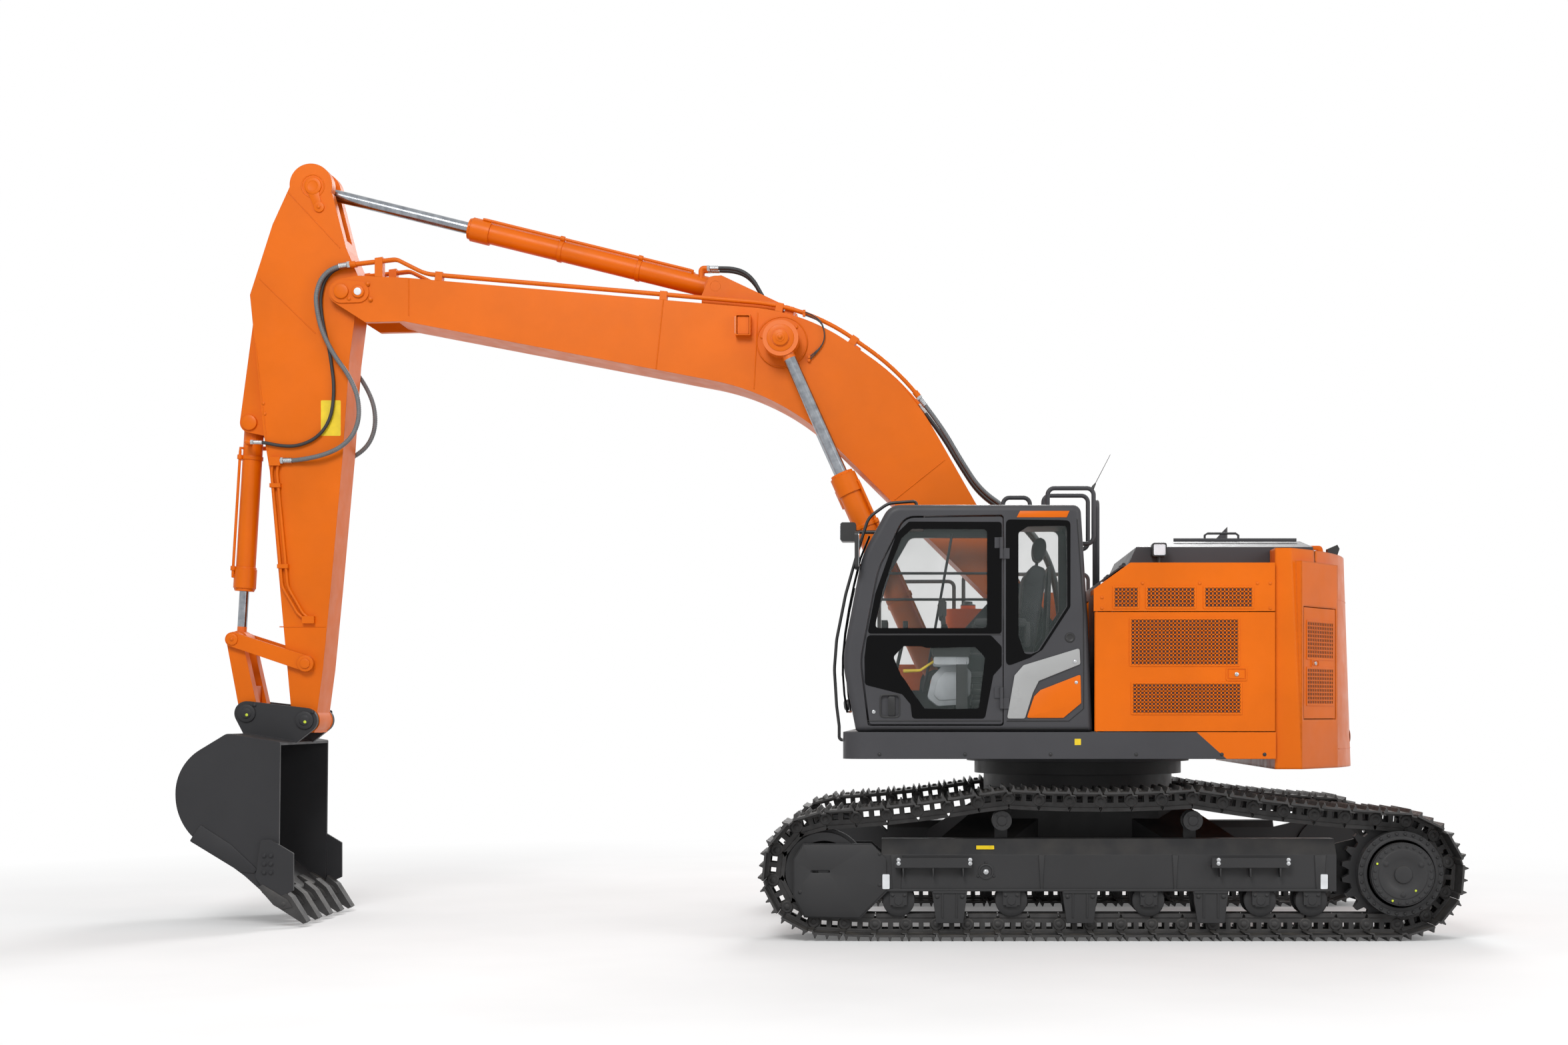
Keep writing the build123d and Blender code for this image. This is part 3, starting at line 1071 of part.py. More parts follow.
def boom():
    """Hollow plate box, bent over the cab, with a foot eye, a fork at the tip and the cylinders' bosses."""
    radii = (10, 1500, 1800, 10, 10, 1800, 10)
    box = prism_xz(outline(boom_outline(0), radius=radii), -BOOM_HALF, BOOM_HALF)
    hollow = prism_xz(outline(boom_outline(BOOM_WALL), radius=radii), BOOM_WALL - BOOM_HALF, BOOM_HALF - BOOM_WALL)
    foot = disc_y(FOOT_PIN, FOOT_EYE_R, -BOOM_HALF, BOOM_HALF)
    fork_face = make_hull((Pos(*ARM_PIN) * Circle(TIP_R)).edges()
                          + Polyline(*FORK_TOP, (-5150, 4575), (-5442, 4568)).edges())
    fork = both_sides(prism_xz(fork_face, -BOOM_HALF, -FORK_IN))
    boss_out = BOOM_CYLINDER_Y - BOOM_EYE_WIDTH / 2 - SIDE_GAP
    cheek = both_sides(disc_y(BOOM_CYLINDER_HEAD, BOOM_BOSS_R, -BOOM_HALF - 16, -BOOM_HALF)
                       + disc_y(BOOM_CYLINDER_HEAD, 125, -boss_out, -BOOM_HALF))
    ear_face = outline(((-2891, 4700), (-2891, 4797), (-2830, 4940), (-2740, 4950), (-2275, 4730),
                        (-2275, 4640)), radius=20)
    ears = both_sides(prism_xz(ear_face, -130, -95))
    ears -= disc_y(ARM_CYLINDER_BASE, 40 + PIN_GAP, -140, 140)
    step = make_hull((Pos(*ARM_PIN) * Circle(88)).edges() + (Pos(*PIN_CAP) * Circle(80)).edges())
    cap = disc_y(PIN_CAP, 48, -BOOM_HALF - TIP_PLATE - 10, -BOOM_HALF)
    plates = both_sides(prism_xz(step, -BOOM_HALF - TIP_PLATE, -BOOM_HALF) + cap)
    lamp = prism_xz(Pos(*BOOM_LAMP) * Rectangle(116, 157), -BOOM_HALF - 75, -BOOM_HALF)
    lamp -= prism_xz(Pos(*BOOM_LAMP) * Rectangle(96, 157 - 2 * 8), -BOOM_HALF - 75 - ROOM, -BOOM_HALF - 12)
    body = box + foot - hollow + fork + plates + cheek + ears + both_sides(lamp)
    body += disc_y(FOOT_PIN, FOOT_PIN_R, -FOOT_BRACKET_OUT - 10, FOOT_BRACKET_OUT + 10)
    return body - disc_y(ARM_PIN, ARM_PIN_R + PIN_GAP, -300, 300)


BOOM_PIPE_LIFT = 46.0     # pipes' middle over the boom's top
# pipes on the boom's left half, mirrored to the right: radius and place in Y
BOOM_PIPES = ((12.0, -190.0), (16.0, -226.0))
BOOM_PIPE_START = (-5562.0, 5011.0)
BOOM_PIPE_CUT = 285.0     # the pipes end this far before the end of the bend down to the foot
PIPE_CLAMPS = (258.0, 1975.0, 2860.0, 3470.0)
MANIFOLD_PLACE = 2935.0   # along the boom's top, where the arm cylinder's hoses end


def boom_top_line(lift):
    """The boom's upper edge from the tip to its foot, moved up by a lift."""
    return moved_line((BOOM_TIP_TOP, *BOOM_TOP_BEND, (-400.0, 2500.0)), lift)


def boom_top_plane(distance, y):
    """Plane on the boom's top at a distance from its tip: X runs to the foot, Y away from the boom."""
    path = FilletPolyline(*[(x, 0, z) for x, z in boom_top_line(0)], radius=(1500, 1800))
    share = distance / path.length
    place = path @ share
    return Plane(origin=(place.X, y, place.Z), x_dir=path % share, z_dir=(0, -1, 0))


def boom_pipe_path(y):
    """A pipe's middle line: over the fork, down to the boom's top and along it."""
    line = boom_top_line(BOOM_PIPE_LIFT)
    route = (BOOM_PIPE_START, (-5210, 5052), along(line[0], line[1], 150), line[1], line[2],
             along(line[2], line[3], 420))
    path = FilletPolyline(*[(x, y, z) for x, z in route],
                          radius=(90, 300, 1500 + BOOM_PIPE_LIFT, 1800 + BOOM_PIPE_LIFT))
    return path.trim(0, 1 - BOOM_PIPE_CUT / path.length)


def boom_pipes():
    """Hydraulic pipes along the boom's top in their clamps, with the block of the arm cylinder's hoses."""
    low, high = BOOM_PIPES[1][1] - 18, BOOM_PIPES[0][1] + 18
    pipes = Part()
    for radius, y in BOOM_PIPES:
        path = boom_pipe_path(y)
        pipes += sweep(Plane(origin=path @ 0, z_dir=path % 0) * Circle(radius), path=path)
        for share, end in ((0, 1), (1, -1)):
            collar = Cylinder(radius + 7, 46, align=(Align.CENTER, Align.CENTER, Align.MIN))
            pipes += Plane(origin=path @ share, z_dir=(path % share) * end) * collar
    height = BOOM_PIPE_LIFT + 22
    for distance in PIPE_CLAMPS:
        clamp = Pos(0, (SEAT_GAP + height) / 2) * Box(56, height - SEAT_GAP, high - low)
        pipes += boom_top_plane(distance, (low + high) / 2) * clamp
    base = moved_line(FORK_TOP, SEAT_GAP)
    post = (along(*base, 130), along(*base, 190), (-5309, 5066), (-5369, 5058))
    pipes += prism_xz(outline(post), -BOOM_HALF, high)
    manifold = Pos(0, (SEAT_GAP + height) / 2) * Box(70, height - SEAT_GAP, 160)
    pipes += boom_top_plane(MANIFOLD_PLACE, -125) * manifold
    return both_sides(pipes)


# Hoses. Their routes are chosen by hand: X, Y and Z on the left side

ARM_CYLINDER_PORT = (-2905.0, 48.0)
# from the arm cylinder's port over to the block on the boom
ARM_CYLINDER_HOSE = ((-2858, -48, 5022), (-2766, -48, 5022), (-2660, -54, 5019), (-2566, -62, 4989),
                     (-2495, -68, 4923), (-2450, -70, 4840), (-2402, -71, 4758), (-2332.2, -70, 4701.6),
                     (-2245.4, -70, 4677.9))
ARM_CYLINDER_HOSE_R = 15.0
# from the boom's thin pipe to the bucket cylinder's port
TIP_HOSE_THIN = ((-6330, -193, 3661), (-6234, -193, 3661), (-6118, -195, 3634), (-5990, -194, 3627),
                 (-5868, -193, 3668), (-5782, -194, 3737), (-5726, -193, 3833), (-5701, -193, 3939),
                 (-5693, -194, 4100), (-5711, -193, 4246), (-5733, -194, 4393), (-5774, -193, 4544),
                 (-5797, -193, 4707), (-5792, -192, 4803), (-5764, -191, 4905), (-5676.5, -190, 4997.7),
                 (-5562.3, -190, 5011))
TIP_HOSE_THIN_R = 13.0
# from the boom's thick pipe to the arm's pipes
TIP_HOSE_THICK = ((-6100, -196, 3519), (-6008, -196, 3519), (-5896, -222, 3530), (-5767, -236, 3556),
                  (-5646, -235, 3606), (-5552, -236, 3684), (-5500, -235, 3790), (-5488, -236, 3910),
                  (-5510, -235, 4039), (-5578, -236, 4180), (-5668, -235, 4300), (-5736, -236, 4420),
                  (-5788, -235, 4548), (-5818, -235, 4700), (-5818, -233, 4800), (-5776, -229, 4919),
                  (-5676.5, -226, 4997.7), (-5562.3, -226, 5011))
TIP_HOSE_THICK_R = 18.0
# from the boom's pipes to the valve block: X, Z and how far Y has gone from the pipe's to the valve's
FOOT_HOSE = ((-1226.2, 4003.7, 0.0), (-1058.8, 3791.9, 0.0), (-900, 3520, 0.2), (-755, 3300, 0.45),
             (-560, 3165, 0.65), (-350, 2985, 0.85), (-205, 2740, 1.0), (-145, 2450, 1.02), (-125, 2168, 1.0),
             (-125, 1900.3, 1.0))
FOOT_HOSES_Y = ((-226.0, -150.0), (-190.0, -60.0))
FOOT_HOSE_R = 16.0


def arm_cylinder_hoses():
    return both_sides(hose(ARM_CYLINDER_HOSE, ARM_CYLINDER_HOSE_R))


def tip_hoses():
    """The two hoses on each side from the boom's tip to the arm."""
    return both_sides(hose(TIP_HOSE_THIN, TIP_HOSE_THIN_R) + hose(TIP_HOSE_THICK, TIP_HOSE_THICK_R))


def boom_foot_hoses():
    """Four hoses from the boom's pipes over its foot to the valve block."""
    hoses = Part()
    for first, last in FOOT_HOSES_Y:
        hoses += hose([(x, first + (last - first) * share, z) for x, z, share in FOOT_HOSE], FOOT_HOSE_R)
    return both_sides(hoses)


def control_valve():
    """Valve block behind the boom's foot, with the sockets of its hoses."""
    top = FOOT_HOSE[-1][1] - SEAT_GAP
    valve = block(-260, 40, -210, 210, DECK_TOP + SEAT_GAP, top - 50)
    for first, last in FOOT_HOSES_Y:
        for y in (last, -last):
            valve += Pos(FOOT_HOSE[-1][0], y, top - 30) * Cylinder(FOOT_HOSE_R + 8, 60)
    return valve


def cylinder_barrel(base, head, y, width, bore_r, reach, eye_r, pin_r, pin_out):
    """Base eye with its pin, barrel and head of a cylinder that lies in the plane Y = y."""
    neck = along(base, head, eye_r * 1.4)
    barrel = bar_between(neck, along(base, head, reach), y, bore_r)
    barrel += bar_between(along(base, head, eye_r * 0.7), neck, y, min(bore_r, width / 2 - ROOM))
    barrel += bar_between(along(base, head, reach - 170), along(base, head, reach - 30), y, bore_r * 1.16)
    barrel += disc_y(base, eye_r, y - width / 2, y + width / 2)
    barrel += disc_y(base, pin_r, y - pin_out, y + pin_out)
    return barrel


def cylinder_rod(base, head, y, width, rod_r, inside, eye_r):
    """Rod with its eye; the rod runs some way into the barrel."""
    rod = bar_between(along(base, head, inside), along(base, head, math.dist(base, head) - eye_r * 0.7), y, rod_r)
    return rod + disc_y(head, eye_r, y - width / 2, y + width / 2)


def rod_bore(base, head, y, rod_r, inside, reach):
    return bar_between(along(base, head, inside - 60), along(base, head, reach + 10), y, rod_r + PIN_GAP)


BOOM_REACH = 1736.0
ARM_REACH = 1971.0
BUCKET_REACH = 1290.0


def boom_cylinder_barrels():
    barrel = cylinder_barrel(BOOM_CYLINDER_BASE, BOOM_CYLINDER_HEAD, -BOOM_CYLINDER_Y, BOOM_EYE_WIDTH, 86,
                             BOOM_REACH, 100, BOOM_BASE_PIN_R, BOOM_EYE_WIDTH / 2 + SIDE_GAP + 30)
    barrel -= rod_bore(BOOM_CYLINDER_BASE, BOOM_CYLINDER_HEAD, -BOOM_CYLINDER_Y, 48, 260, BOOM_REACH)
    return both_sides(barrel)


def boom_cylinder_rods():
    rod = cylinder_rod(BOOM_CYLINDER_BASE, BOOM_CYLINDER_HEAD, -BOOM_CYLINDER_Y, BOOM_EYE_WIDTH, 48, 1400, 135)
    rod += disc_y(BOOM_CYLINDER_HEAD, 64, -BOOM_CYLINDER_Y - 74, -BOOM_CYLINDER_Y)
    return both_sides(rod)


def arm_cylinder_barrel():
    barrel = cylinder_barrel(ARM_CYLINDER_BASE, ARM_TOP_PIN, 0, 178, 80, ARM_REACH, 90, 40, 129)
    x, y = ARM_CYLINDER_PORT
    end, _, height = ARM_CYLINDER_HOSE[0]
    elbow = tube(((x, -y, 4930), (x, -y, height), (end - SEAT_GAP, -y, height)), 19, 26)
    barrel += both_sides(elbow)
    return barrel - rod_bore(ARM_CYLINDER_BASE, ARM_TOP_PIN, 0, 46, 260, ARM_REACH)


def arm_cylinder_rod():
    return cylinder_rod(ARM_CYLINDER_BASE, ARM_TOP_PIN, 0, 130, 46, 1700, 85)


def bucket_cylinder_barrel():
    barrel = cylinder_barrel(BUCKET_CYLINDER_BASE, ROD_PIN, 0, 150, 73, BUCKET_REACH, 80, 36, 114)
    end_x, end_y, end_z = TIP_HOSE_THIN[0]
    elbow = tube(((-6371, -60, end_z), (-6371, end_y, end_z), (end_x - SEAT_GAP, end_y, end_z)), 17, 24)
    barrel += both_sides(elbow)
    return barrel - rod_bore(BUCKET_CYLINDER_BASE, ROD_PIN, 0, 36, 160, BUCKET_REACH)


def bucket_cylinder_rod():
    return cylinder_rod(BUCKET_CYLINDER_BASE, ROD_PIN, 0, 140, 36, 1100, 72)


# Arm

def arm():
    """Plate box with the slotted head for the cylinder's eye and the ears of the bucket cylinder."""
    edge = ((-6006, 5690), (-6170, 5330), (-6343, 4791), (-6236, 3713), (-6192, 3448), (-6114, 2557),
            (-6029, 1633), (-5990, 1480), (-5850, 1440), (-5785, 1927), (-5724, 2557), (-5632, 3573), (-5583, 4292),
            (-5520, 4780), (-5518, 4940), (-5607, 5149), (-5714, 5568))
    box = prism_xz(outline(edge), -ARM_HALF, ARM_HALF)
    box += disc_y((-5877, 5634), 163, -ARM_HALF, ARM_HALF) + disc_y(ARM_PIN, TIP_R, -ARM_HALF, ARM_HALF)
    box += disc_y(BUCKET_PIN, 95, -ARM_HALF, ARM_HALF)
    hollow = ((-6140, 5200), (-6320, 4791), (-6180, 3448), (-6102, 2557), (-6040, 1800), (-5830, 1800),
              (-5740, 2557), (-5648, 3573), (-5600, 4292), (-5760, 4700), (-5780, 5150))
    box -= prism_xz(outline(hollow), ARM_WALL - ARM_HALF, ARM_HALF - ARM_WALL)
    slot = outline(((-6100, 5420), (-6100, 5900), (-5400, 5900), (-5400, 5180), (-5700, 5240)))
    box -= prism_xz(slot, -74, 74)
    ear = make_hull((Pos(*BUCKET_CYLINDER_BASE) * Circle(75)).edges()
                    + Polyline((-6320, 4700), (-6220, 4400), (-6220, 3713)).edges())
    ears = both_sides(prism_xz(ear, -118, -82)) - disc_y(BUCKET_CYLINDER_BASE, 36 + PIN_GAP, -130, 130)
    box += ears
    box += disc_y(ARM_PIN, ARM_PIN_R, -BOOM_HALF - 20, BOOM_HALF + 20)
    box += disc_y(SIDE_LINK_PIN, 40, -232, 232) + disc_y(SIDE_LINK_PIN, 62, -178, 178)
    return box - disc_y(BUCKET_PIN, 42 + PIN_GAP, -200, 200)


ARM_PIPE_Y = -190.0
ARM_PIPE_R = 11.0
# the arm's pipes: route in X and Z, and how far the second one lies behind
ARM_PIPE = ((-6163, 3500), (-6172, 3428), (-6090, 2556), (-5973, 2353), (-5915, 2305))
ARM_PIPE_PITCH = 42.0
ARM_PIPE_CLAMPS_Z = (3330.0, 2712.0)


def arm_pipes():
    """Two pipes down each side of the arm, from the hose's block to the stop valves."""
    wall = -ARM_HALF - SEAT_GAP
    out = ARM_PIPE_Y - ARM_PIPE_R - 6
    pipes = block(-6185, TIP_HOSE_THICK[0][0] - SEAT_GAP, ARM_PIPE_Y - 27, wall, 3480, 3545)
    for row in (0, 1):
        points = [(x + row * ARM_PIPE_PITCH, ARM_PIPE_Y, z) for x, z in ARM_PIPE]
        pipes += tube(points, ARM_PIPE_R, (150, 150, 100))
    for z in ARM_PIPE_CLAMPS_Z:
        share = (z - ARM_PIPE[1][1]) / (ARM_PIPE[2][1] - ARM_PIPE[1][1])
        x = ARM_PIPE[1][0] + (ARM_PIPE[2][0] - ARM_PIPE[1][0]) * share
        pipes += block(x - 20, x + ARM_PIPE_PITCH + 20, out, wall, z - 16, z + 16)
    end_x, end_z = ARM_PIPE[-1]
    pipes += block(end_x - 20, end_x + ARM_PIPE_PITCH + 30, out, wall, end_z - 30, end_z + 26)
    return both_sides(pipes)


def side_links():
    link = tapered_plate(SIDE_LINK_PIN, 60, ROD_PIN, 55, -216, -184)
    link -= disc_y(SIDE_LINK_PIN, 40 + PIN_GAP, -240, -150)
    return both_sides(link)


def bucket_link():
    """Forged link from the rod's end to the bucket: a fork above, one broad eye below."""
    link = both_sides(tapered_plate(ROD_PIN, 60, BUCKET_LINK_PIN, 70, -172, -80))
    link += disc_y(BUCKET_LINK_PIN, 70, -172, 172)
    link += block(-6390, -6330, -90, 90, 1640, 1800)
    return link + disc_y(BUCKET_LINK_PIN, 42, -240, 240)


def bucket_side_face():
    return ((-5971, 1374), (-6366, 1439), (-6748, 1207), (-6748, 757), (-6236, 382), (-5984, 155))


def bucket():
    """Bent wrapper plate between two side plates, with ears, side cutters and the lip."""
    radii = (10, 60, 380, 440, 300, 10)
    outer = outline(bucket_side_face(), radius=radii)
    side = prism_xz(outer, -BUCKET_HALF, BUCKET_HALF)
    w = BUCKET_WALL
    inside = ((-5960, 1374 - w), (-6366 + 5, 1439 - w - 2), (-6748 + w, 1207 - 12), (-6748 + w, 757 + 12),
              (-6236 + 12, 382 + w), (-5984 + 30, 155 + w))
    side -= prism_xz(outline(inside, radius=(0.5, 45, 355, 415, 300, 0.5)), w - BUCKET_HALF, BUCKET_HALF - w)
    ear = make_hull((Pos(*BUCKET_PIN) * Circle(95)).edges() + (Pos(*BUCKET_LINK_PIN) * Circle(93)).edges()
                    + Polyline((-6366, 1420), (-5975, 1360)).edges())
    ears = both_sides(prism_xz(ear, -236, -190))
    ears -= disc_y(BUCKET_LINK_PIN, 42 + PIN_GAP, -250, 250)
    cutter = outline(((-6107, 646), (-6036, 652), (-5865, 549), (-5865, 272), (-6030, 200), (-6146, 369)), radius=8)
    cutters = both_sides(prism_xz(cutter, -BUCKET_HALF - 25, -BUCKET_HALF))
    body = side + ears + cutters
    body += disc_y(BUCKET_PIN, 42, -240, 240)
    return body


def bucket_teeth():
    tooth = outline(((-6100, 262), (-5984, 150), (-5790, 26), (-5766, 42), (-5880, 225), (-5960, 290),
                     (-5979, 184)))
    teeth = Part()
    for index in range(TEETH):
        middle = TOOTH_SPREAD * (index / (TEETH - 1) - 0.5)
        teeth += prism_xz(tooth, middle - TOOTH_WIDTH / 2, middle + TOOTH_WIDTH / 2)
    return teeth - bucket()


PIECES = {
    "car_body": car_body,
    "track_frame_left": lambda: track_frame(-1),
    "track_frame_right": lambda: track_frame(1),
    "track_left": lambda: track(-1),
    "track_right": lambda: track(1),
    "idlers": idlers,
    "final_drives": final_drives,
    "lower_rollers": lower_rollers,
    "carrier_rollers": carrier_rollers,
    "slew_ring_base": slew_ring_base,
    "slew_ring_top": slew_ring_top,
    "deck": deck,
    "boom_bracket": boom_bracket,
    "counterweight": counterweight,
    "engine_block": engine_block,
    "counterweight_left_door": counterweight_left_door,
    "housing_frame": housing_frame,
    "upper_left_panel": upper_left_panel,
    "upper_right_panel": upper_right_panel,
    "left_service_door": left_service_door,
    "right_service_door": right_service_door,
    "cab_frame": cab_frame,
    "cab_door": cab_door,
    "cab_door_glass": cab_door_glass,
    "cab_glass": cab_glass,
    "operator_seat": operator_seat,
    "cab_controls": cab_controls,
    "control_valve": control_valve,
    "tanks": tanks,
    "toolbox": toolbox,
    "toolbox_lid": toolbox_lid,
    "engine_hood": engine_hood,
    "handrails": handrails,
    "mirrors": mirrors,
    "lamps": lamps,
    "exhaust_stack": exhaust_stack,
    "boom": boom,
    "boom_pipes": boom_pipes,
    "boom_foot_hoses": boom_foot_hoses,
    "arm_cylinder_hoses": arm_cylinder_hoses,
    "boom_cylinder_barrels": boom_cylinder_barrels,
    "boom_cylinder_rods": boom_cylinder_rods,
    "arm_cylinder_barrel": arm_cylinder_barrel,
    "arm_cylinder_rod": arm_cylinder_rod,
    "bucket_cylinder_barrel": bucket_cylinder_barrel,
    "bucket_cylinder_rod": bucket_cylinder_rod,
    "arm": arm,
    "arm_pipes": arm_pipes,
    "tip_hoses": tip_hoses,
    "side_links": side_links,
    "bucket_link": bucket_link,
    "bucket": bucket,
    "bucket_teeth": bucket_teeth,
}


def main():
    pieces = {name: build() for name, build in PIECES.items()}
    box = Compound(children=[Compound(list(piece.solids())) for piece in pieces.values()]).bounding_box()
    shift = -(box.min.X + box.max.X) / 2
    print("swing axis at X =", round(shift, 3))
    for name, points, radius in (("thin tip hose", TIP_HOSE_THIN, TIP_HOSE_THIN_R),
                                 ("thick tip hose", TIP_HOSE_THICK, TIP_HOSE_THICK_R),
                                 ("arm cylinder hose", ARM_CYLINDER_HOSE, ARM_CYLINDER_HOSE_R),
                                 ("foot hose", [(x, 0, z) for x, z, _ in FOOT_HOSE], FOOT_HOSE_R)):
        bends = [round(bend / (2 * radius), 1) for bend in cord_radii(points)]
        print(name, "bend radii in diameters:", bends)
    os.makedirs("parts", exist_ok=True)
    for name, piece in pieces.items():
        export_step(Pos(shift, 0, 0) * Compound(list(piece.solids())), f"parts/{name}.step")


if __name__ == "__main__":
    main()
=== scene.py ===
"""Looks of a crawler excavator with a short tail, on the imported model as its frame."""
import json
import math

import bmesh
import bpy
from mathutils import Matrix, Vector

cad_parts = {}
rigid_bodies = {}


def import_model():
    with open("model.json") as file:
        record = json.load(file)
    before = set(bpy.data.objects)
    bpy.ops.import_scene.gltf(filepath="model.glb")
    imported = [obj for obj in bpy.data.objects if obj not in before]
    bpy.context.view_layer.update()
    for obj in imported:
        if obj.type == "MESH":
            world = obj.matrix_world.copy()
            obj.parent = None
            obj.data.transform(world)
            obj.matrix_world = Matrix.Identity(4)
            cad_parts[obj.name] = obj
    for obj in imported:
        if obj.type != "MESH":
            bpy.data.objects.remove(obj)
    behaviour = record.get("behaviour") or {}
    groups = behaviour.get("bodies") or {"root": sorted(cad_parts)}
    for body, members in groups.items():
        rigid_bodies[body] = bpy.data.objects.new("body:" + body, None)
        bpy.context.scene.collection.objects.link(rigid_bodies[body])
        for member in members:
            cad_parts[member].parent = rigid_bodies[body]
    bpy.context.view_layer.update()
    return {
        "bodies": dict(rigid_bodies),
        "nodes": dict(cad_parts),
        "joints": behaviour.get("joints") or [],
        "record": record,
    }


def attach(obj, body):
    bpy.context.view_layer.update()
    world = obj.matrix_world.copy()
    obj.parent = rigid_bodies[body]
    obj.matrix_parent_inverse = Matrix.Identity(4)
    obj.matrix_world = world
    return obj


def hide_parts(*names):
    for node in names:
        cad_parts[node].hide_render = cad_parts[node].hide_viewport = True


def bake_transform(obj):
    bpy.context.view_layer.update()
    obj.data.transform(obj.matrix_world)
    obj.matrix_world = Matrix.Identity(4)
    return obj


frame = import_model()
NODES = frame["nodes"]
JOINTS = {joint["name"]: joint for joint in frame["joints"]}

# Pieces are drawn in millimetres from the swing axis, the machine's middle and the ground.
SWING_X = JOINTS["swing"]["pos_m"][0]
TO_FRAME = Matrix.Translation((SWING_X, 0, 0)) @ Matrix.Scale(0.001, 4)


def place(x, y, z):
    """A place in millimetres from the swing axis, in the frame."""
    return TO_FRAME @ Vector((x, y, z))


# Camera and stage

CAMERA = (-1216.0, -16000.0, 1590.0)
LENS = 47.5
PHOTO_SIZE = (2352, 1568)
VANISHING = (1380, 1070)    # the photo's point straight ahead of the camera, in its pixels


def make_camera():
    data = bpy.data.cameras.new("camera")
    data.lens = LENS
    data.shift_x = (PHOTO_SIZE[0] / 2 - VANISHING[0]) / PHOTO_SIZE[0]
    data.shift_y = (VANISHING[1] - PHOTO_SIZE[1] / 2) / PHOTO_SIZE[0]
    camera = bpy.data.objects.new("camera", data)
    camera.location = place(*CAMERA)
    camera.rotation_euler = (math.pi / 2, 0, 0)
    bpy.context.scene.collection.objects.link(camera)
    bpy.context.scene.camera = camera


# Shader helpers

class Shader:
    """A material's node tree with short calls for the nodes that the finishes share."""

    def __init__(self, name):
        self.material = bpy.data.materials.new(name)
        self.material.use_nodes = True
        self.tree = self.material.node_tree
        self.tree.nodes.clear()
        self.output = self.tree.nodes.new("ShaderNodeOutputMaterial")
        self.coordinates = self.tree.nodes.new("ShaderNodeTexCoord").outputs["Object"]

    def node(self, kind, inputs=(), **settings):
        node = self.tree.nodes.new("ShaderNode" + kind)
        for key, value in settings.items():
            setattr(node, key, value)
        for key, value in dict(inputs).items():
            socket = node.inputs[key]
            if isinstance(value, bpy.types.NodeSocket):
                self.tree.links.new(value, socket)
            else:
                socket.default_value = value
        return node

    def math(self, operation, *values, clamp=False):
        return self.node("Math", dict(enumerate(values)), operation=operation, use_clamp=clamp).outputs[0]

    def noise(self, scale, detail):
        inputs = {"Vector": self.coordinates, "Scale": scale, "Detail": detail}
        return self.node("TexNoise", inputs).outputs["Fac"]

    def span(self, value, low, high, to_low=0.0, to_high=1.0):
        """The value carried from one range to another, held at its ends."""
        inputs = {"Value": value, "From Min": low, "From Max": high, "To Min": to_low, "To Max": to_high}
        return self.node("MapRange", inputs).outputs["Result"]

    def mix(self, factor, first, second):
        node = self.node("Mix", data_type="RGBA")
        for index, value in ((0, factor), (6, first), (7, second)):
            if isinstance(value, bpy.types.NodeSocket):
                self.tree.links.new(value, node.inputs[index])
            else:
                node.inputs[index].default_value = value
        return node.outputs[2]

    def tones(self, scale, detail, low, high, first, second):
        """Noise that drifts from one colour to another."""
        return self.mix(self.span(self.noise(scale, detail), low, high), first, second)

    def edges(self, radius, low, high):
        """A normal that softens the edges, and how near an edge a point is, from 0 to 1."""
        soft = self.node("Bevel", {"Radius": radius}, samples=4).outputs["Normal"]
        flat = self.node("NewGeometry").outputs["Normal"]
        facing = self.node("VectorMath", {0: soft, 1: flat}, operation="DOT_PRODUCT").outputs["Value"]
        return soft, self.span(facing, low, high)

    def bump(self, strength, distance, height, normal=None):
        inputs = {"Strength": strength, "Distance": distance, "Height": height}
        if normal is not None:
            inputs["Normal"] = normal
        return self.node("Bump", inputs).outputs[0]

    def beyond(self, origin, direction, distance, sharpness=0.0008):
        """1 where a point lies further than the distance from the origin along the direction."""
        unit = Vector(direction).normalized()
        shifted = self.node("VectorMath", {0: self.coordinates, 1: tuple(origin)}, operation="SUBTRACT")
        along = self.node("VectorMath", {0: shifted.outputs[0], 1: tuple(unit)}, operation="DOT_PRODUCT")
        return self.span(along.outputs["Value"], distance - sharpness, distance + sharpness)

    def up(self):
        """How much a face looks up, from 0 to 1."""
        normal = self.node("NewGeometry").outputs["Normal"]
        height = self.node("SeparateXYZ", {"Vector": normal}).outputs["Z"]
        return self.math("MAXIMUM", height, 0.0)

    def finish(self, colour, roughness, normal=None, **inputs):
        names = {"metallic": "Metallic", "coat": "Coat Weight", "coat_roughness": "Coat Roughness",
                 "specular": "Specular IOR Level", "alpha": "Alpha", "sheen": "Sheen Weight",
                 "sheen_roughness": "Sheen Roughness"}
        sockets = {"Base Color": colour, "Roughness": roughness}
        sockets.update({names[key]: value for key, value in inputs.items()})
        if normal is not None:
            sockets["Normal"] = normal
        shader = self.node("BsdfPrincipled", sockets)
        self.tree.links.new(shader.outputs[0], self.output.inputs["Surface"])
        return self.material


def rgb(*values):
    """A colour from its screen values, 0 to 255."""
    linear = [((v / 255 + 0.055) / 1.055) ** 2.4 if v > 10 else v / 255 / 12.92 for v in values]
    return (*linear, 1.0)


def scaled(colour, factor):
    return (*[min(1.0, c * factor) for c in colour[:3]], 1.0)


DUST, SOIL = rgb(170, 160, 145), rgb(150, 138, 120)


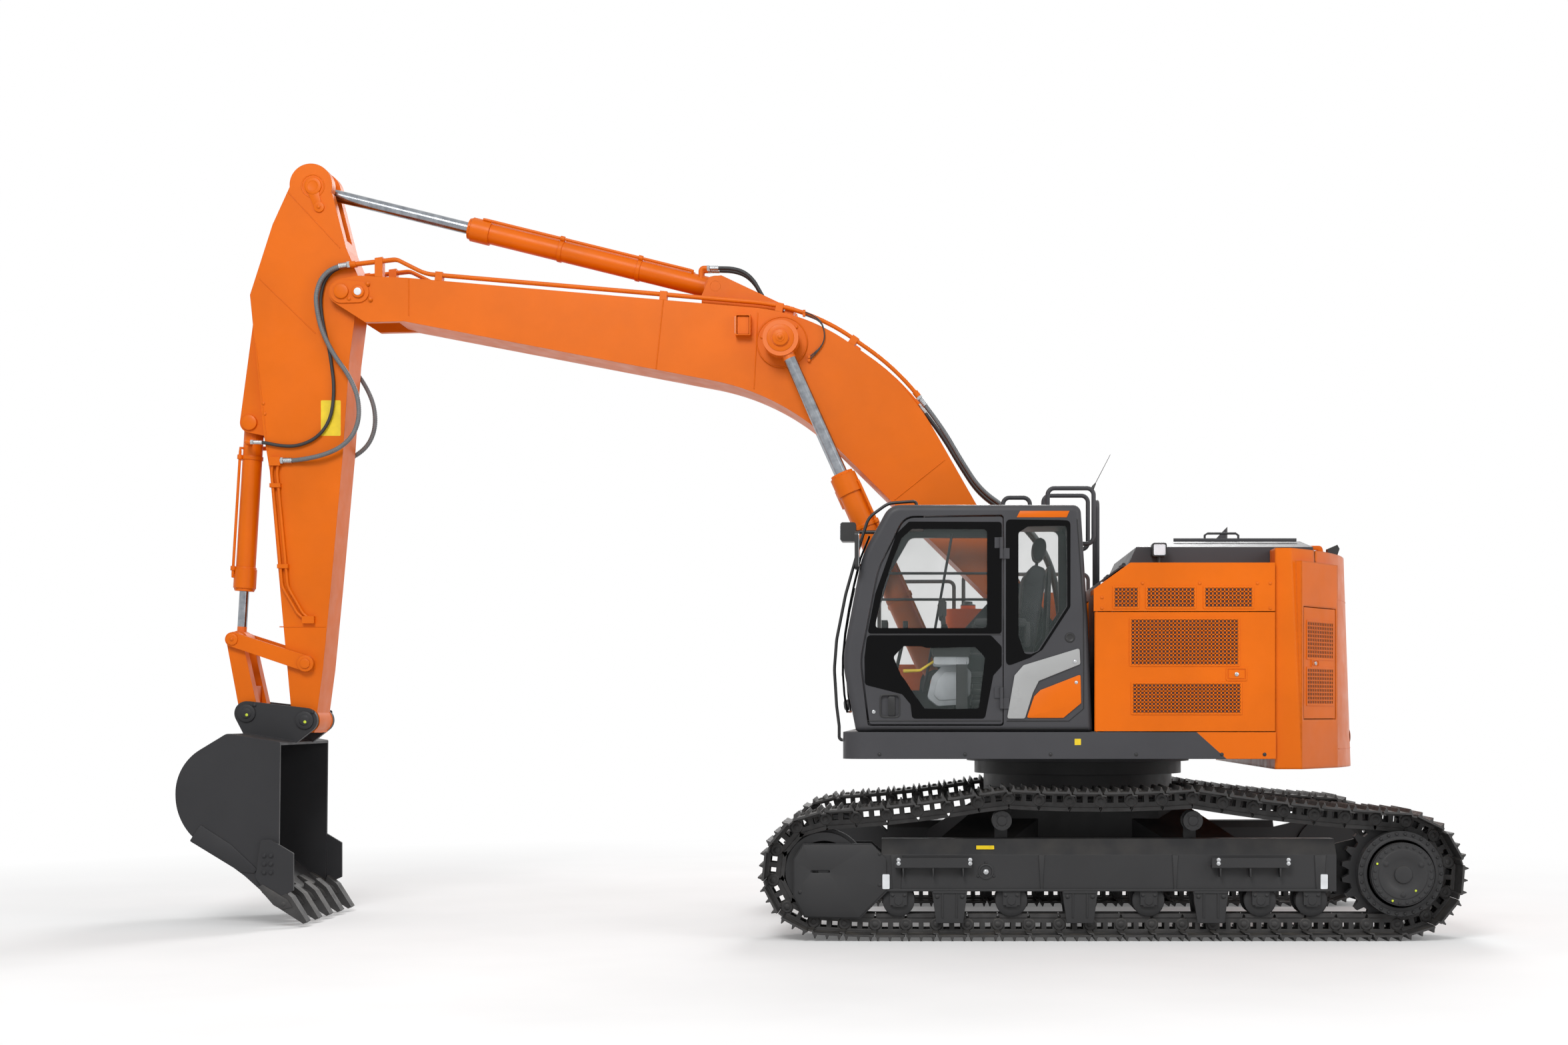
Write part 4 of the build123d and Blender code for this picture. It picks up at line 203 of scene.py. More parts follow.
def painted(name, colour, roughness=0.38, coat=0.0, edge_radius=0.004, areas=(), dust=0.07, grain=0.0):
    """Machine paint: rounded edges rubbed lighter, faint dust on top and the ripple of a sprayed coat.

    areas lists other colours, each with the node that masks it: (colour, mask function).
    """
    s = Shader(name)
    base = s.tones(1.7, 4, 0.35, 0.65, scaled(colour, 0.93), scaled(colour, 1.05))
    for other, mask in areas:
        base = s.mix(mask(s), base, other)
    soft, edge = s.edges(edge_radius, 0.995, 0.80)
    rub = s.math("MULTIPLY", edge, s.span(s.noise(38, 5), 0.40, 0.70, 0.05, 0.30))
    base = s.mix(rub, base, scaled(colour, 1.9))
    settled = s.math("MULTIPLY", s.up(), s.span(s.noise(5.5, 6), 0.40, 0.75, 0.0, dust))
    base = s.mix(settled, base, DUST)
    rough = s.span(s.noise(9, 5), 0.3, 0.7, roughness - 0.05, roughness + 0.07)
    ripple = s.bump(0.06 + grain, 0.0006, s.noise(240 if grain else 130, 2), soft)
    return s.finish(base, rough, ripple, specular=0.22, coat=coat, coat_roughness=0.12)


def cast(name, colour, wear, roughness=0.55, dust=0.14):
    """Rough blackened steel: grain, polished spots on the high parts and dust that settles on top."""
    s = Shader(name)
    base = s.tones(11, 6, 0.35, 0.68, scaled(colour, 0.75), scaled(colour, 1.35))
    soft, edge = s.edges(0.003, 0.99, 0.75)
    rub = s.math("MULTIPLY", edge, s.span(s.noise(24, 4), 0.35, 0.65, 0.1, 0.55))
    base = s.mix(rub, base, wear)
    settled = s.math("MULTIPLY", s.up(), s.span(s.noise(7, 6), 0.42, 0.72, 0.0, dust))
    base = s.mix(settled, base, SOIL)
    rough = s.span(s.noise(16, 5), 0.3, 0.7, roughness - 0.10, roughness + 0.12)
    return s.finish(base, rough, s.bump(0.22, 0.0012, s.noise(170, 4), soft))


def chrome(name, eye_colour, origin, direction, distance):
    """Polished rod of slightly uneven tone, painted beyond a distance along it, where its eye is."""
    s = Shader(name)
    eye = s.beyond(origin, direction, distance)
    polished = s.tones(20, 3, 0.3, 0.7, rgb(128, 132, 138), rgb(160, 164, 169))
    base = s.mix(eye, polished, eye_colour)
    metallic = s.math("SUBTRACT", 1.0, eye)
    rough = s.span(eye, 0, 1, 0.2, 0.42)
    return s.finish(base, rough, s.bump(0.02, 0.0002, s.noise(12, 2)), metallic=metallic)


def plain(name, colour, roughness, metallic=0.0, bump=0.08, scale=300.0, **inputs):
    """Moulded or machined surface: slow colour drift and a fine grain."""
    s = Shader(name)
    base = s.tones(14, 4, 0.3, 0.7, scaled(colour, 0.88), scaled(colour, 1.08))
    rough = s.span(s.noise(30, 4), 0.3, 0.7, max(0.02, roughness - 0.05), roughness + 0.06)
    grain = s.bump(bump, 0.0005, s.noise(scale, 3))
    return s.finish(base, rough, grain, metallic=metallic, **inputs)


WAVE_PERIOD = 0.314    # from band to band of the wave texture at scale 1, in metres


def woven(name, colour, pitch=0.004):
    """Seat cloth: crossed threads with a soft sheen."""
    s = Shader(name)
    waves = []
    for axis in ("X", "Y"):
        inputs = {"Vector": s.coordinates, "Scale": WAVE_PERIOD / pitch, "Distortion": 0.4}
        waves.append(s.node("TexWave", inputs, bands_direction=axis).outputs["Fac"])
    threads = s.math("MULTIPLY", *waves)
    base = s.mix(threads, scaled(colour, 0.8), scaled(colour, 1.25))
    base = s.mix(s.span(s.noise(9, 4), 0.4, 0.7, 0.0, 0.3), base, scaled(colour, 1.9))
    return s.finish(base, 0.85, s.bump(0.15, 0.0006, threads), sheen=0.3, sheen_roughness=0.4)


def clear(name, colour, alpha, roughness=0.03):
    """Glazing: tinted and nearly clear, glossy, with faint patches of dirt."""
    s = Shader(name)
    base = s.tones(3, 4, 0.3, 0.7, colour, scaled(colour, 1.3))
    dirt = s.span(s.noise(2.3, 6), 0.45, 0.75, alpha, alpha + 0.05)
    rough = s.span(s.noise(6, 4), 0.4, 0.7, roughness, roughness + 0.05)
    return s.finish(base, rough, s.bump(0.02, 0.0003, s.noise(5, 2)), alpha=dirt, specular=0.8)


ORANGE = rgb(220, 103, 0)
GREY = rgb(66, 66, 69)
CHARCOAL = rgb(54, 54, 55)
TRACK = rgb(47, 46, 46)


def skirt_mask(s):
    """The skirt's tail end, behind a slanted line."""
    return s.beyond(place(759, 0, 1425), (147, 0, 164), 0.0)


MATERIALS = {
    "orange": (painted("paint_orange", ORANGE), "orange_paint"),
    "orange_cast": (painted("paint_orange_cast", ORANGE, edge_radius=0.03, roughness=0.34), "orange_paint"),
    "grey": (painted("paint_grey", GREY, roughness=0.42, edge_radius=0.006), "grey_paint"),
    "skirt": (painted("paint_skirt", GREY, roughness=0.42, edge_radius=0.008, areas=((ORANGE, skirt_mask),)),
              "grey_paint"),
    "charcoal": (painted("paint_charcoal", CHARCOAL, roughness=0.42, edge_radius=0.006, grain=0.02),
                 "charcoal_paint"),
    "bucket": (painted("paint_bucket", rgb(50, 50, 52), roughness=0.46, edge_radius=0.006, grain=0.04),
               "charcoal_paint"),
    "track": (cast("steel_track", TRACK, wear=rgb(120, 116, 110)), "track_steel"),
    "black": (plain("plastic_black", rgb(26, 26, 27), 0.42, bump=0.18, scale=420), "black_plastic"),
    "frit": (plain("glass_black_rim", rgb(5, 5, 6), 0.2, bump=0.01, specular=0.1), "black_plastic"),
    "hose": (plain("hose_wrap", rgb(104, 106, 108), 0.5, bump=0.15), "hose_rubber"),
    "dark_hose": (plain("hose_cover", rgb(40, 40, 41), 0.55, bump=0.15), "hose_rubber"),
    "chrome": (plain("chrome_rod_tail", rgb(144, 148, 154), 0.2, metallic=1.0, bump=0.02, scale=12),
               "chromed_rod"),
    "steel": (plain("steel_bright", rgb(186, 188, 190), 0.28, metallic=1.0, bump=0.06, scale=600),
              "chromed_rod"),
    "silver": (painted("paint_silver", rgb(164, 165, 165), roughness=0.30, coat=0.2, edge_radius=0.005),
               "grey_paint"),
    "light_grey": (plain("plastic_light_grey", rgb(184, 189, 193), 0.5, bump=0.14, scale=350),
                   "black_plastic"),
    # painted shade: the dark red behind the grilles stands in for the shade inside the machine
    "painted_shade_red": (plain("grille_shade", rgb(58, 22, 14), 0.7, bump=0.1), "charcoal_paint"),
    "yellow": (plain("label_yellow", rgb(232, 200, 30), 0.4, bump=0.02), "orange_paint"),
    "white": (plain("label_white", rgb(226, 229, 232), 0.35, bump=0.02), "lamp_glass"),
    "mark": (plain("mark_lime", rgb(205, 222, 60), 0.5, bump=0.02), "track_steel"),
    "lens": (plain("lamp_lens", rgb(222, 226, 232), 0.10, bump=0.3, scale=90, coat=0.6), "lamp_glass"),
    "mirror": (plain("mirror_face", rgb(205, 210, 214), 0.04, metallic=1.0, bump=0.0), "glass"),
    "seat": (woven("seat_cloth", rgb(58, 59, 62)), "seat_fabric"),
    "seat_edge": (plain("seat_vinyl", rgb(40, 41, 43), 0.5, bump=0.25, scale=260), "seat_fabric"),
    "glass": (clear("cab_glazing", rgb(88, 98, 96), 0.10), "glass"),
}


# Mesh helpers

LEFT = (0, -1, 0)
BEVELLED = 0.6                # edges that turn by more than this angle, in radians, are bevelled
SHARP = math.radians(38)      # and edges beyond this one are shaded sharp


def skin(rings, sides):
    """Faces between rings of vertices that follow each other, with both ends closed."""
    faces = []
    for ring in range(rings - 1):
        for step in range(sides):
            here, after = ring * sides + step, ring * sides + (step + 1) % sides
            faces.append((here, after, after + sides, here + sides))
    last = (rings - 1) * sides
    return faces + [tuple(range(sides - 1, -1, -1)), tuple(range(last, last + sides))]


class Piece:
    """One visible piece: shapes are added to it in millimetres, then it is placed on its body."""

    def __init__(self, name, body, *materials, replaces=(), bevel=0.0):
        self.name, self.body, self.materials, self.nodes, self.bevel = name, body, materials, replaces, bevel
        self.mesh = bmesh.new()
        self.index = 0

    def use(self, material):
        """The faces that follow take this one of the piece's materials."""
        self.index = self.materials.index(material)
        return self

    def faces(self, vertices, faces):
        made = [self.mesh.verts.new(v) for v in vertices]
        for face in faces:
            new = self.mesh.faces.new([made[i] for i in face])
            new.material_index = self.index

    def prism(self, points, low, high, frame=None):
        """An outline in X and Z, thick from one Y to another; frame lays it elsewhere."""
        count = len(points)
        frame = frame or Matrix.Identity(4)
        ring = [frame @ Vector((x, y, z)) for y in (low, high) for x, z in points]
        sides = [(i, (i + 1) % count, count + (i + 1) % count, count + i) for i in range(count)]
        self.faces(ring, [tuple(range(count)), tuple(range(2 * count - 1, count - 1, -1)), *sides])
        return self

    def box(self, x_low, x_high, y_low, y_high, z_low, z_high):
        return self.prism(rect(x_low, x_high, z_low, z_high), y_low, y_high)

    def lathe(self, profile, centre, axis=(0, 1, 0), steps=32):
        """A turned form: places along the axis from the centre, and radii."""
        turn = Vector(axis).to_track_quat("Z", "Y").to_matrix().to_4x4()
        frame = Matrix.Translation(centre) @ turn
        vertices = [frame @ Vector((x, y, along)) for along, radius in profile
                    for x, y in circle(0, 0, radius, steps)]
        self.faces(vertices, skin(len(profile), steps))
        return self

    def disc(self, centre, radius, height, axis=LEFT, steps=28, edge=1.5):
        """A flat turned cap that stands on its centre, with a small chamfer."""
        profile = ((0, radius), (height - edge, radius), (height, radius - edge))
        return self.lathe(profile, centre, axis, steps)

    def bolt(self, centre, radius, axis=LEFT, height=None, washer=True):
        """A hexagon head on its washer."""
        height = height or radius * 0.7
        if washer:
            self.disc(centre, radius * 1.35, radius * 0.22, axis, 16, radius * 0.08)
        return self.lathe(((0, radius), (height * 0.85, radius), (height, radius * 0.82)), centre, axis, 6)

    def bolt_circle(self, x, y, z, ring, count, start, radius, height=None):
        for bolt_x, bolt_z in circle(x, z, ring, count, start):
            self.bolt((bolt_x, y, bolt_z), radius, height=height)

    def weld(self, start, end, y, steps, thin):
        """A weld seam between two places in X and Z, with its ripples."""
        points = [(start[0] + (end[0] - start[0]) * k / steps, y, start[1] + (end[1] - start[1]) * k / steps)
                  for k in range(steps + 1)]
        self.tube(points, [thin if k % 2 else thin + 1 for k in range(steps + 1)], 6)

    def weld_circle(self, x, z, radius, y, steps, thickness):
        ring = circle(x, z, radius, steps)
        self.tube([(a, y, b) for a, b in (*ring, ring[0])], thickness, 6)

    def tube(self, points, radius, sides):
        """A tube along points; radius may be a list, one for each point, or a function of point and angle."""
        points = [Vector(p) for p in points]
        radii = radius if isinstance(radius, list) else [radius] * len(points)
        normal, vertices = None, []
        for i, point in enumerate(points):
            direction = (points[min(i + 1, len(points) - 1)] - points[max(i - 1, 0)]).normalized()
            if normal is None:
                normal = direction.orthogonal().normalized()
            normal = (normal - direction * normal.dot(direction)).normalized()
            side = direction.cross(normal)
            for step in range(sides):
                angle = 2 * math.pi * step / sides
                reach = radius(i, angle) if callable(radius) else radii[i]
                vertices.append(point + reach * (normal * math.cos(angle) + side * math.sin(angle)))
        self.faces(vertices, skin(len(points), sides))
        return self

    def both(self):
        """What is drawn so far is repeated on the machine's right side."""
        copy = self.mesh.copy()
        bmesh.ops.transform(copy, matrix=Matrix.Scale(-1, 4, (0, 1, 0)), verts=copy.verts)
        bmesh.ops.reverse_faces(copy, faces=copy.faces)
        mesh = bpy.data.meshes.new("mirrored")
        copy.to_mesh(mesh)
        copy.free()
        self.mesh.from_mesh(mesh)
        bpy.data.meshes.remove(mesh)
        return self

    def stamp(self, mesh, frame):
        """A copy of a ready mesh, laid by the frame."""
        start = len(self.mesh.verts)
        self.mesh.from_mesh(mesh)
        self.mesh.verts.ensure_lookup_table()
        bmesh.ops.transform(self.mesh, matrix=frame, verts=self.mesh.verts[start:])

    def to_mesh(self):
        bmesh.ops.recalc_face_normals(self.mesh, faces=self.mesh.faces)
        if self.bevel:
            edges = [e for e in self.mesh.edges if e.is_manifold and e.calc_face_angle(0) > BEVELLED]
            bmesh.ops.bevel(self.mesh, geom=edges, offset=self.bevel, segments=2, profile=0.5, affect="EDGES",
                            clamp_overlap=True)
        mesh = bpy.data.meshes.new(self.name)
        self.mesh.to_mesh(mesh)
        self.mesh.free()
        return mesh

    def done(self):
        mesh = self.to_mesh()
        mesh.transform(TO_FRAME)
        for key in self.materials:
            mesh.materials.append(MATERIALS[key][0])
        mesh.shade_smooth()
        mesh.set_sharp_from_angle(angle=SHARP)
        piece = bpy.data.objects.new(self.name, mesh)
        bpy.context.scene.collection.objects.link(piece)
        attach(piece, self.body)
        if self.nodes:
            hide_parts(*self.nodes)
        return piece


def rounded(points, radius, steps=5):
    """An outline with its corners rounded."""
    result = []
    for index, point in enumerate(points):
        here, after = Vector(point), Vector(points[(index + 1) % len(points)])
        first, second = Vector(points[index - 1]) - here, after - here
        half = first.angle(second) / 2
        reach = min(radius / math.tan(half), first.length * 0.45, second.length * 0.45)
        start, end = here + first.normalized() * reach, here + second.normalized() * reach
        for step in range(steps + 1):
            share = step / steps
            result.append(tuple(start * (1 - share) ** 2 + here * 2 * share * (1 - share) + end * share ** 2))
    return result


def rect(x_low, x_high, z_low, z_high, radius=0):
    """A rectangle's outline, its corners rounded where a radius is given."""
    corners = ((x_low, z_low), (x_high, z_low), (x_high, z_high), (x_low, z_high))
    return rounded(corners, radius) if radius else corners


def circle(x, z, radius, count, start=0.0):
    """Places in X and Z, evenly round a circle from a start angle."""
    angles = [start + 2 * math.pi * k / count for k in range(count)]
    return [(x + radius * math.cos(angle), z + radius * math.sin(angle)) for angle in angles]


def laid(x, y, z, degrees, axis="Z"):
    """Lays an outline at a place, turned about an axis."""
    return Matrix.Translation((x, y, z)) @ Matrix.Rotation(math.radians(degrees), 4, axis)


def holed(piece, x_edges, z_edges, windows, y_low, y_high):
    """A flat plate between the edges with rectangular windows left open."""
    xs = sorted({*x_edges, *[w[0] for w in windows], *[w[1] for w in windows]})
    zs = sorted({*z_edges, *[w[2] for w in windows], *[w[3] for w in windows]})
    open_cells = {(i, k) for i in range(len(xs) - 1) for k in range(len(zs) - 1)
                  for w in windows if w[0] <= xs[i] < w[1] and w[2] <= zs[k] < w[3]}
    count_x, count_z = len(xs) - 1, len(zs) - 1
    vertices, lookup, faces = [], {}, []

    def vertex(i, k, y):
        if (i, k, y) not in lookup:
            lookup[i, k, y] = len(vertices)
            vertices.append((xs[i], y, zs[k]))
        return lookup[i, k, y]

    def solid(i, k):
        return 0 <= i < count_x and 0 <= k < count_z and (i, k) not in open_cells

    for i in range(count_x):
        for k in range(count_z):
            if not solid(i, k):
                continue
            corners = rect(i, i + 1, k, k + 1)
            faces.append([vertex(*c, y_low) for c in corners])
            faces.append([vertex(*c, y_high) for c in reversed(corners)])
            for a, (di, dk) in enumerate(((0, -1), (1, 0), (0, 1), (-1, 0))):
                b = (a + 1) % 4
                if not solid(i + di, k + dk):
                    faces.append([vertex(*corners[a], y_low), vertex(*corners[b], y_low),
                                  vertex(*corners[b], y_high), vertex(*corners[a], y_high)])
    piece.faces(vertices, faces)


def ring_around(piece, outer, inner, low, high, frame=None):
    """A plate with an opening, thick from one Y to another."""
    frame = frame or Matrix.Identity(4)
    flat = bmesh.new()
    for loop in (outer, inner):
        ring = [flat.verts.new((x, 0, z)) for x, z in loop]
        for index, vertex in enumerate(ring):
            flat.edges.new((vertex, ring[index - 1]))
    bmesh.ops.triangle_fill(flat, use_beauty=True, edges=flat.edges[:], normal=LEFT)
    flat.verts.index_update()
    count = len(flat.verts)
    vertices = [frame @ Vector((v.co.x, y, v.co.z)) for y in (low, high) for v in flat.verts]
    faces = []
    for face in flat.faces:
        corners = [v.index for v in face.verts]
        faces += [tuple(corners), tuple(count + i for i in reversed(corners))]
    faces += [(e.verts[0].index, e.verts[1].index, count + e.verts[1].index, count + e.verts[0].index)
              for e in flat.edges if len(e.link_faces) == 1]
    flat.free()
    piece.faces(vertices, faces)


# Materials of the pieces that keep their own shape

def finish_node(name, material):
    NODES[name].data.materials.clear()
    NODES[name].data.materials.append(material)


NODE_FINISH = {
    "orange": ("arm", "side_links", "bucket_link", "boom_cylinder_barrels", "arm_cylinder_barrel",
               "bucket_cylinder_barrel", "boom", "boom_pipes", "arm_pipes", "tanks", "toolbox", "toolbox_lid",
               "upper_left_panel", "upper_right_panel", "left_service_door", "right_service_door",
               "counterweight_left_door"),
    "orange_cast": ("counterweight",),
    "grey": ("engine_hood", "cab_frame", "cab_door", "boom_bracket", "handrails", "exhaust_stack",
             "housing_frame"),
    "skirt": ("deck",),
    "charcoal": ("car_body", "track_frame_left", "track_frame_right", "slew_ring_base", "slew_ring_top",
                 "engine_block", "control_valve", "final_drives", "idlers", "carrier_rollers",
                 "lower_rollers"),
    "bucket": ("bucket",),
    "track": ("bucket_teeth",),
    "black": ("cab_controls", "mirrors", "lamps"),
    "glass": ("cab_glass", "cab_door_glass"),
}
for finish_name, node_names in NODE_FINISH.items():
    for node_name in node_names:
        finish_node(node_name, MATERIALS[finish_name][0])

# Cylinders: the foot's place and the head's, in X and Z
BOOM_CYLINDER = ((-1096, 1816), (-2266, 4414))
ARM_CYLINDER = ((-2786, 4866), (-5861, 5624))
BUCKET_CYLINDER = ((-6362, 3820), (-6464, 2153))
BOOM_CYLINDER_Y = -385


def foot_and_head(line, y=0):
    """The middles of a cylinder's two pins."""
    return [Vector((x, y, z)) for x, z in line]


for rod, line, painted_length in (("boom_cylinder_rods", BOOM_CYLINDER, 165),
                                  ("arm_cylinder_rod", ARM_CYLINDER, 120),
                                  ("bucket_cylinder_rod", BUCKET_CYLINDER, 105)):
    foot, head = foot_and_head(line)
    bare = ((head - foot).length - painted_length) / 1000
    finish_node(rod, chrome(rod, ORANGE, place(*foot), head - foot, bare))


# Hoses. Control points of their routes on the left side, in millimetres from the swing axis

ARM_CYLINDER_HOSE = ((-2858, -48, 5022), (-2766, -48, 5022), (-2660, -54, 5019), (-2566, -62, 4989),
                     (-2495, -68, 4923), (-2450, -70, 4840), (-2402, -71, 4758), (-2332.2, -70, 4701.6),
                     (-2245.4, -70, 4677.9))
TIP_HOSE_THIN = ((-6330, -193, 3661), (-6234, -193, 3661), (-6118, -195, 3634), (-5990, -194, 3627),
                 (-5868, -193, 3668), (-5782, -194, 3737), (-5726, -193, 3833), (-5701, -193, 3939),
                 (-5693, -194, 4100), (-5711, -193, 4246), (-5733, -194, 4393), (-5774, -193, 4544),
                 (-5797, -193, 4707), (-5792, -192, 4803), (-5764, -191, 4905), (-5676.5, -190, 4997.7),
                 (-5562.3, -190, 5011))
TIP_HOSE_THICK = ((-6100, -196, 3519), (-6008, -196, 3519), (-5896, -222, 3530), (-5767, -236, 3556),
                  (-5646, -235, 3606), (-5552, -236, 3684), (-5500, -235, 3790), (-5488, -236, 3910),
                  (-5510, -235, 4039), (-5578, -236, 4180), (-5668, -235, 4300), (-5736, -236, 4420),
                  (-5788, -235, 4548), (-5818, -235, 4700), (-5818, -233, 4800), (-5776, -229, 4919),
                  (-5676.5, -226, 4997.7), (-5562.3, -226, 5011))
FOOT_HOSE_OUTER = ((-1226.2, -226, 4003.7), (-1058.8, -226, 3791.9), (-900, -210.8, 3520),
                   (-755, -191.8, 3300), (-560, -176.6, 3165), (-350, -161.4, 2985), (-205, -150, 2740),
                   (-145, -148.5, 2450), (-125, -150, 2168), (-125, -150, 1900.3))
FOOT_HOSE_INNER = ((-1226.2, -190, 4003.7), (-1058.8, -190, 3791.9), (-900, -164, 3520),
                   (-755, -131.5, 3300), (-560, -105.5, 3165), (-350, -79.5, 2985), (-205, -60, 2740),
                   (-145, -57.4, 2450), (-125, -60, 2168), (-125, -60, 1900.3))
ARM_CYLINDER_JOINT = ("arm_cylinder_barrel", "boom", (-2745, 0, 5022), (-2450, 0, 4840))
TIP_JOINT = ("arm", "boom", (-5700, 0, 3990), (-5700, 0, 4975))
FOOT_JOINT = ("boom", "upperstructure", (-680, 0, 3250), (-160, 0, 2180))
# Name, route, radius, CAD node, joint, real length in metres, pitch of the spiral guard (none where 0)
HOSES = (("arm_cylinder_hose", ARM_CYLINDER_HOSE, 15, "arm_cylinder_hoses", ARM_CYLINDER_JOINT, 0.76, 0),
         ("tip_hose_thin", TIP_HOSE_THIN, 13, "tip_hoses", TIP_JOINT, 2.01, 0),
         ("tip_hose_thick", TIP_HOSE_THICK, 18, "tip_hoses", TIP_JOINT, 2.15, 15),
         ("foot_hose_outer", FOOT_HOSE_OUTER, 16, "boom_foot_hoses", FOOT_JOINT, 2.49, 15),
         ("foot_hose_inner", FOOT_HOSE_INNER, 16, "boom_foot_hoses", FOOT_JOINT, 2.49, 0))


def smooth_line(route):
    """Points read from the NURBS spline whose control points are the route's."""
    curve = bpy.data.curves.new("route", "CURVE")
    curve.dimensions = "3D"
    curve.resolution_u = 24
    spline = curve.splines.new("NURBS")
    spline.points.add(len(route) - 1)
    for control, point in zip(spline.points, route):
        control.co = (*point, 1)
    spline.order_u = 3
    spline.use_endpoint_u = True
    holder = bpy.data.objects.new("route", curve)
    mesh = bpy.data.meshes.new_from_object(holder)
    points = [vertex.co.copy() for vertex in mesh.vertices]
    bpy.data.meshes.remove(mesh)
    bpy.data.objects.remove(holder)
    bpy.data.curves.remove(curve)
    return points


def even_line(points, pitch):
    """The line's points at even distances."""
    result, carried = [points[0]], 0.0
    for start, end in zip(points, points[1:]):
        length = (end - start).length
        place_on = pitch - carried
        while place_on < length:
            result.append(start.lerp(end, place_on / length))
            place_on += pitch
        carried = length - (place_on - pitch)
    if (points[-1] - result[-1]).length > pitch / 3:
        result.append(points[-1])
    else:
        result[-1] = points[-1]
    return result


def guarded(points, radius, pitch):
    """The radius of a hose in its spiral guard, whose rim winds round it with the pitch."""
    walked = [0.0]
    for start, end in zip(points, points[1:]):
        walked.append(walked[-1] + (end - start).length)

    def reach(i, angle):
        wave = math.cos(2 * math.pi * walked[i] / pitch - angle)
        return radius * (1.0 if wave > -0.35 else 0.90)

    return reach


def sleeve(name, body, points, radius):
    """Crimped steel sleeve with its hexagon at a hose's end; points run from the end into the hose."""
    start = points[0]
    inward = (next(p for p in points if (p - start).length > 40) - start).normalized()
    piece = Piece(name, body, "steel")
    ribs = [(0, radius * 1.05), (4, radius * 1.28)]
    for rib in range(4):
        along = 8 + rib * 13
        ribs += [(along, radius * 1.28), (along + 2, radius * 1.18), (along + 5, radius * 1.18),
                 (along + 7, radius * 1.28)]
    ribs += [(62, radius * 1.28), (66, radius * 1.08)]
    piece.lathe(ribs, start + inward * 22, inward, 20)
    piece.lathe(((0, radius * 1.45), (20, radius * 1.45), (22, radius * 1.3)), start, inward, 6)
    return piece.done()


def make_hoses():
    for name, route, radius, node, (first, second, start, end), length, pitch in HOSES:
        for side, sign in (("left", 1), ("right", -1)):
            points = even_line(smooth_line([(x, y * sign, z) for x, y, z in route]), pitch / 4 or 12)
            piece = Piece(f"{name}_{side}", first, "hose" if pitch else "dark_hose")
            if pitch:
                piece.tube(points, guarded(points, radius, pitch), 12)
            else:
                piece.tube(points, radius, 14)
            hose = piece.done()
            ends = [sleeve(f"{name}_{side}_sleeve_{index}", body, line, radius)
                    for index, (body, line) in enumerate(((first, points), (second, points[::-1])))]
            hose.parent = None
            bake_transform(hose)
            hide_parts(node)


make_camera()
make_hoses()


# Tracks: 48 shoes with three grousers on two rows of links

TRACK_MIDDLE = 1295.0
TUMBLERS, TRACK_MID_X = 4050.0, 131.0
PIN_LINE_Z, PIN_TO_RAIL, PIN_TO_PLATE = 97.0, 75.0, 57.0
SHOE_PLATE, GROUSER, SHOE_WIDTH, SHOES = 12.0, 28.0, 600.0, 48
WHEEL_PIN_R = 366.0
IDLER = (TRACK_MID_X - TUMBLERS / 2, PIN_LINE_Z + WHEEL_PIN_R + 12)
SPROCKET = (TRACK_MID_X + TUMBLERS / 2, PIN_LINE_Z + WHEEL_PIN_R)
CARRIERS_X = (-637.0, 713.0)
CARRIER_PIN_Z, TRACK_SAG = 990.0, 22.0
ROLLERS_X = (-1367.0, -1007.0, -572.0, -90.0, 395.0, 830.0, 1183.0, 1545.0)
ROLLER_Z = PIN_LINE_Z + PIN_TO_RAIL + 95.3


def along(start, end, distance):
    length = math.dist(start, end)
    return tuple(a + (b - a) * distance / length for a, b in zip(start, end))


def link_pins():
    """The link pins' places round the loop, at equal distances."""
    path = [(SPROCKET[0], PIN_LINE_Z), (ROLLERS_X[0] - 190, PIN_LINE_Z)]

    def wind(wheel, start, first):
        for step in range(first, 25):
            angle = math.radians(start - 7.5 * step)
            path.append((wheel[0] + WHEEL_PIN_R * math.cos(angle), wheel[1] + WHEEL_PIN_R * math.sin(angle)))

    wind(IDLER, 270, 0)
    tops = ((IDLER[0], IDLER[1] + WHEEL_PIN_R), (CARRIERS_X[0], CARRIER_PIN_Z),
            (CARRIERS_X[1], CARRIER_PIN_Z), (SPROCKET[0], SPROCKET[1] + WHEEL_PIN_R))
    for start, end in zip(tops, tops[1:]):
        for step in range(1, 13):
            share = step / 12
            path.append((start[0] + (end[0] - start[0]) * share,
                         start[1] + (end[1] - start[1]) * share - TRACK_SAG * 4 * share * (1 - share)))
    wind(SPROCKET, 90, 1)
    lengths = [0.0]
    for start, end in zip(path, path[1:]):
        lengths.append(lengths[-1] + math.dist(start, end))
    pins = []
    for index in range(SHOES):
        target = lengths[-1] * index / SHOES
        span = min(max(i for i, length in enumerate(lengths) if length <= target + 1e-9), len(path) - 2)
        pins.append(along(path[span], path[span + 1], target - lengths[span]))
    return pins


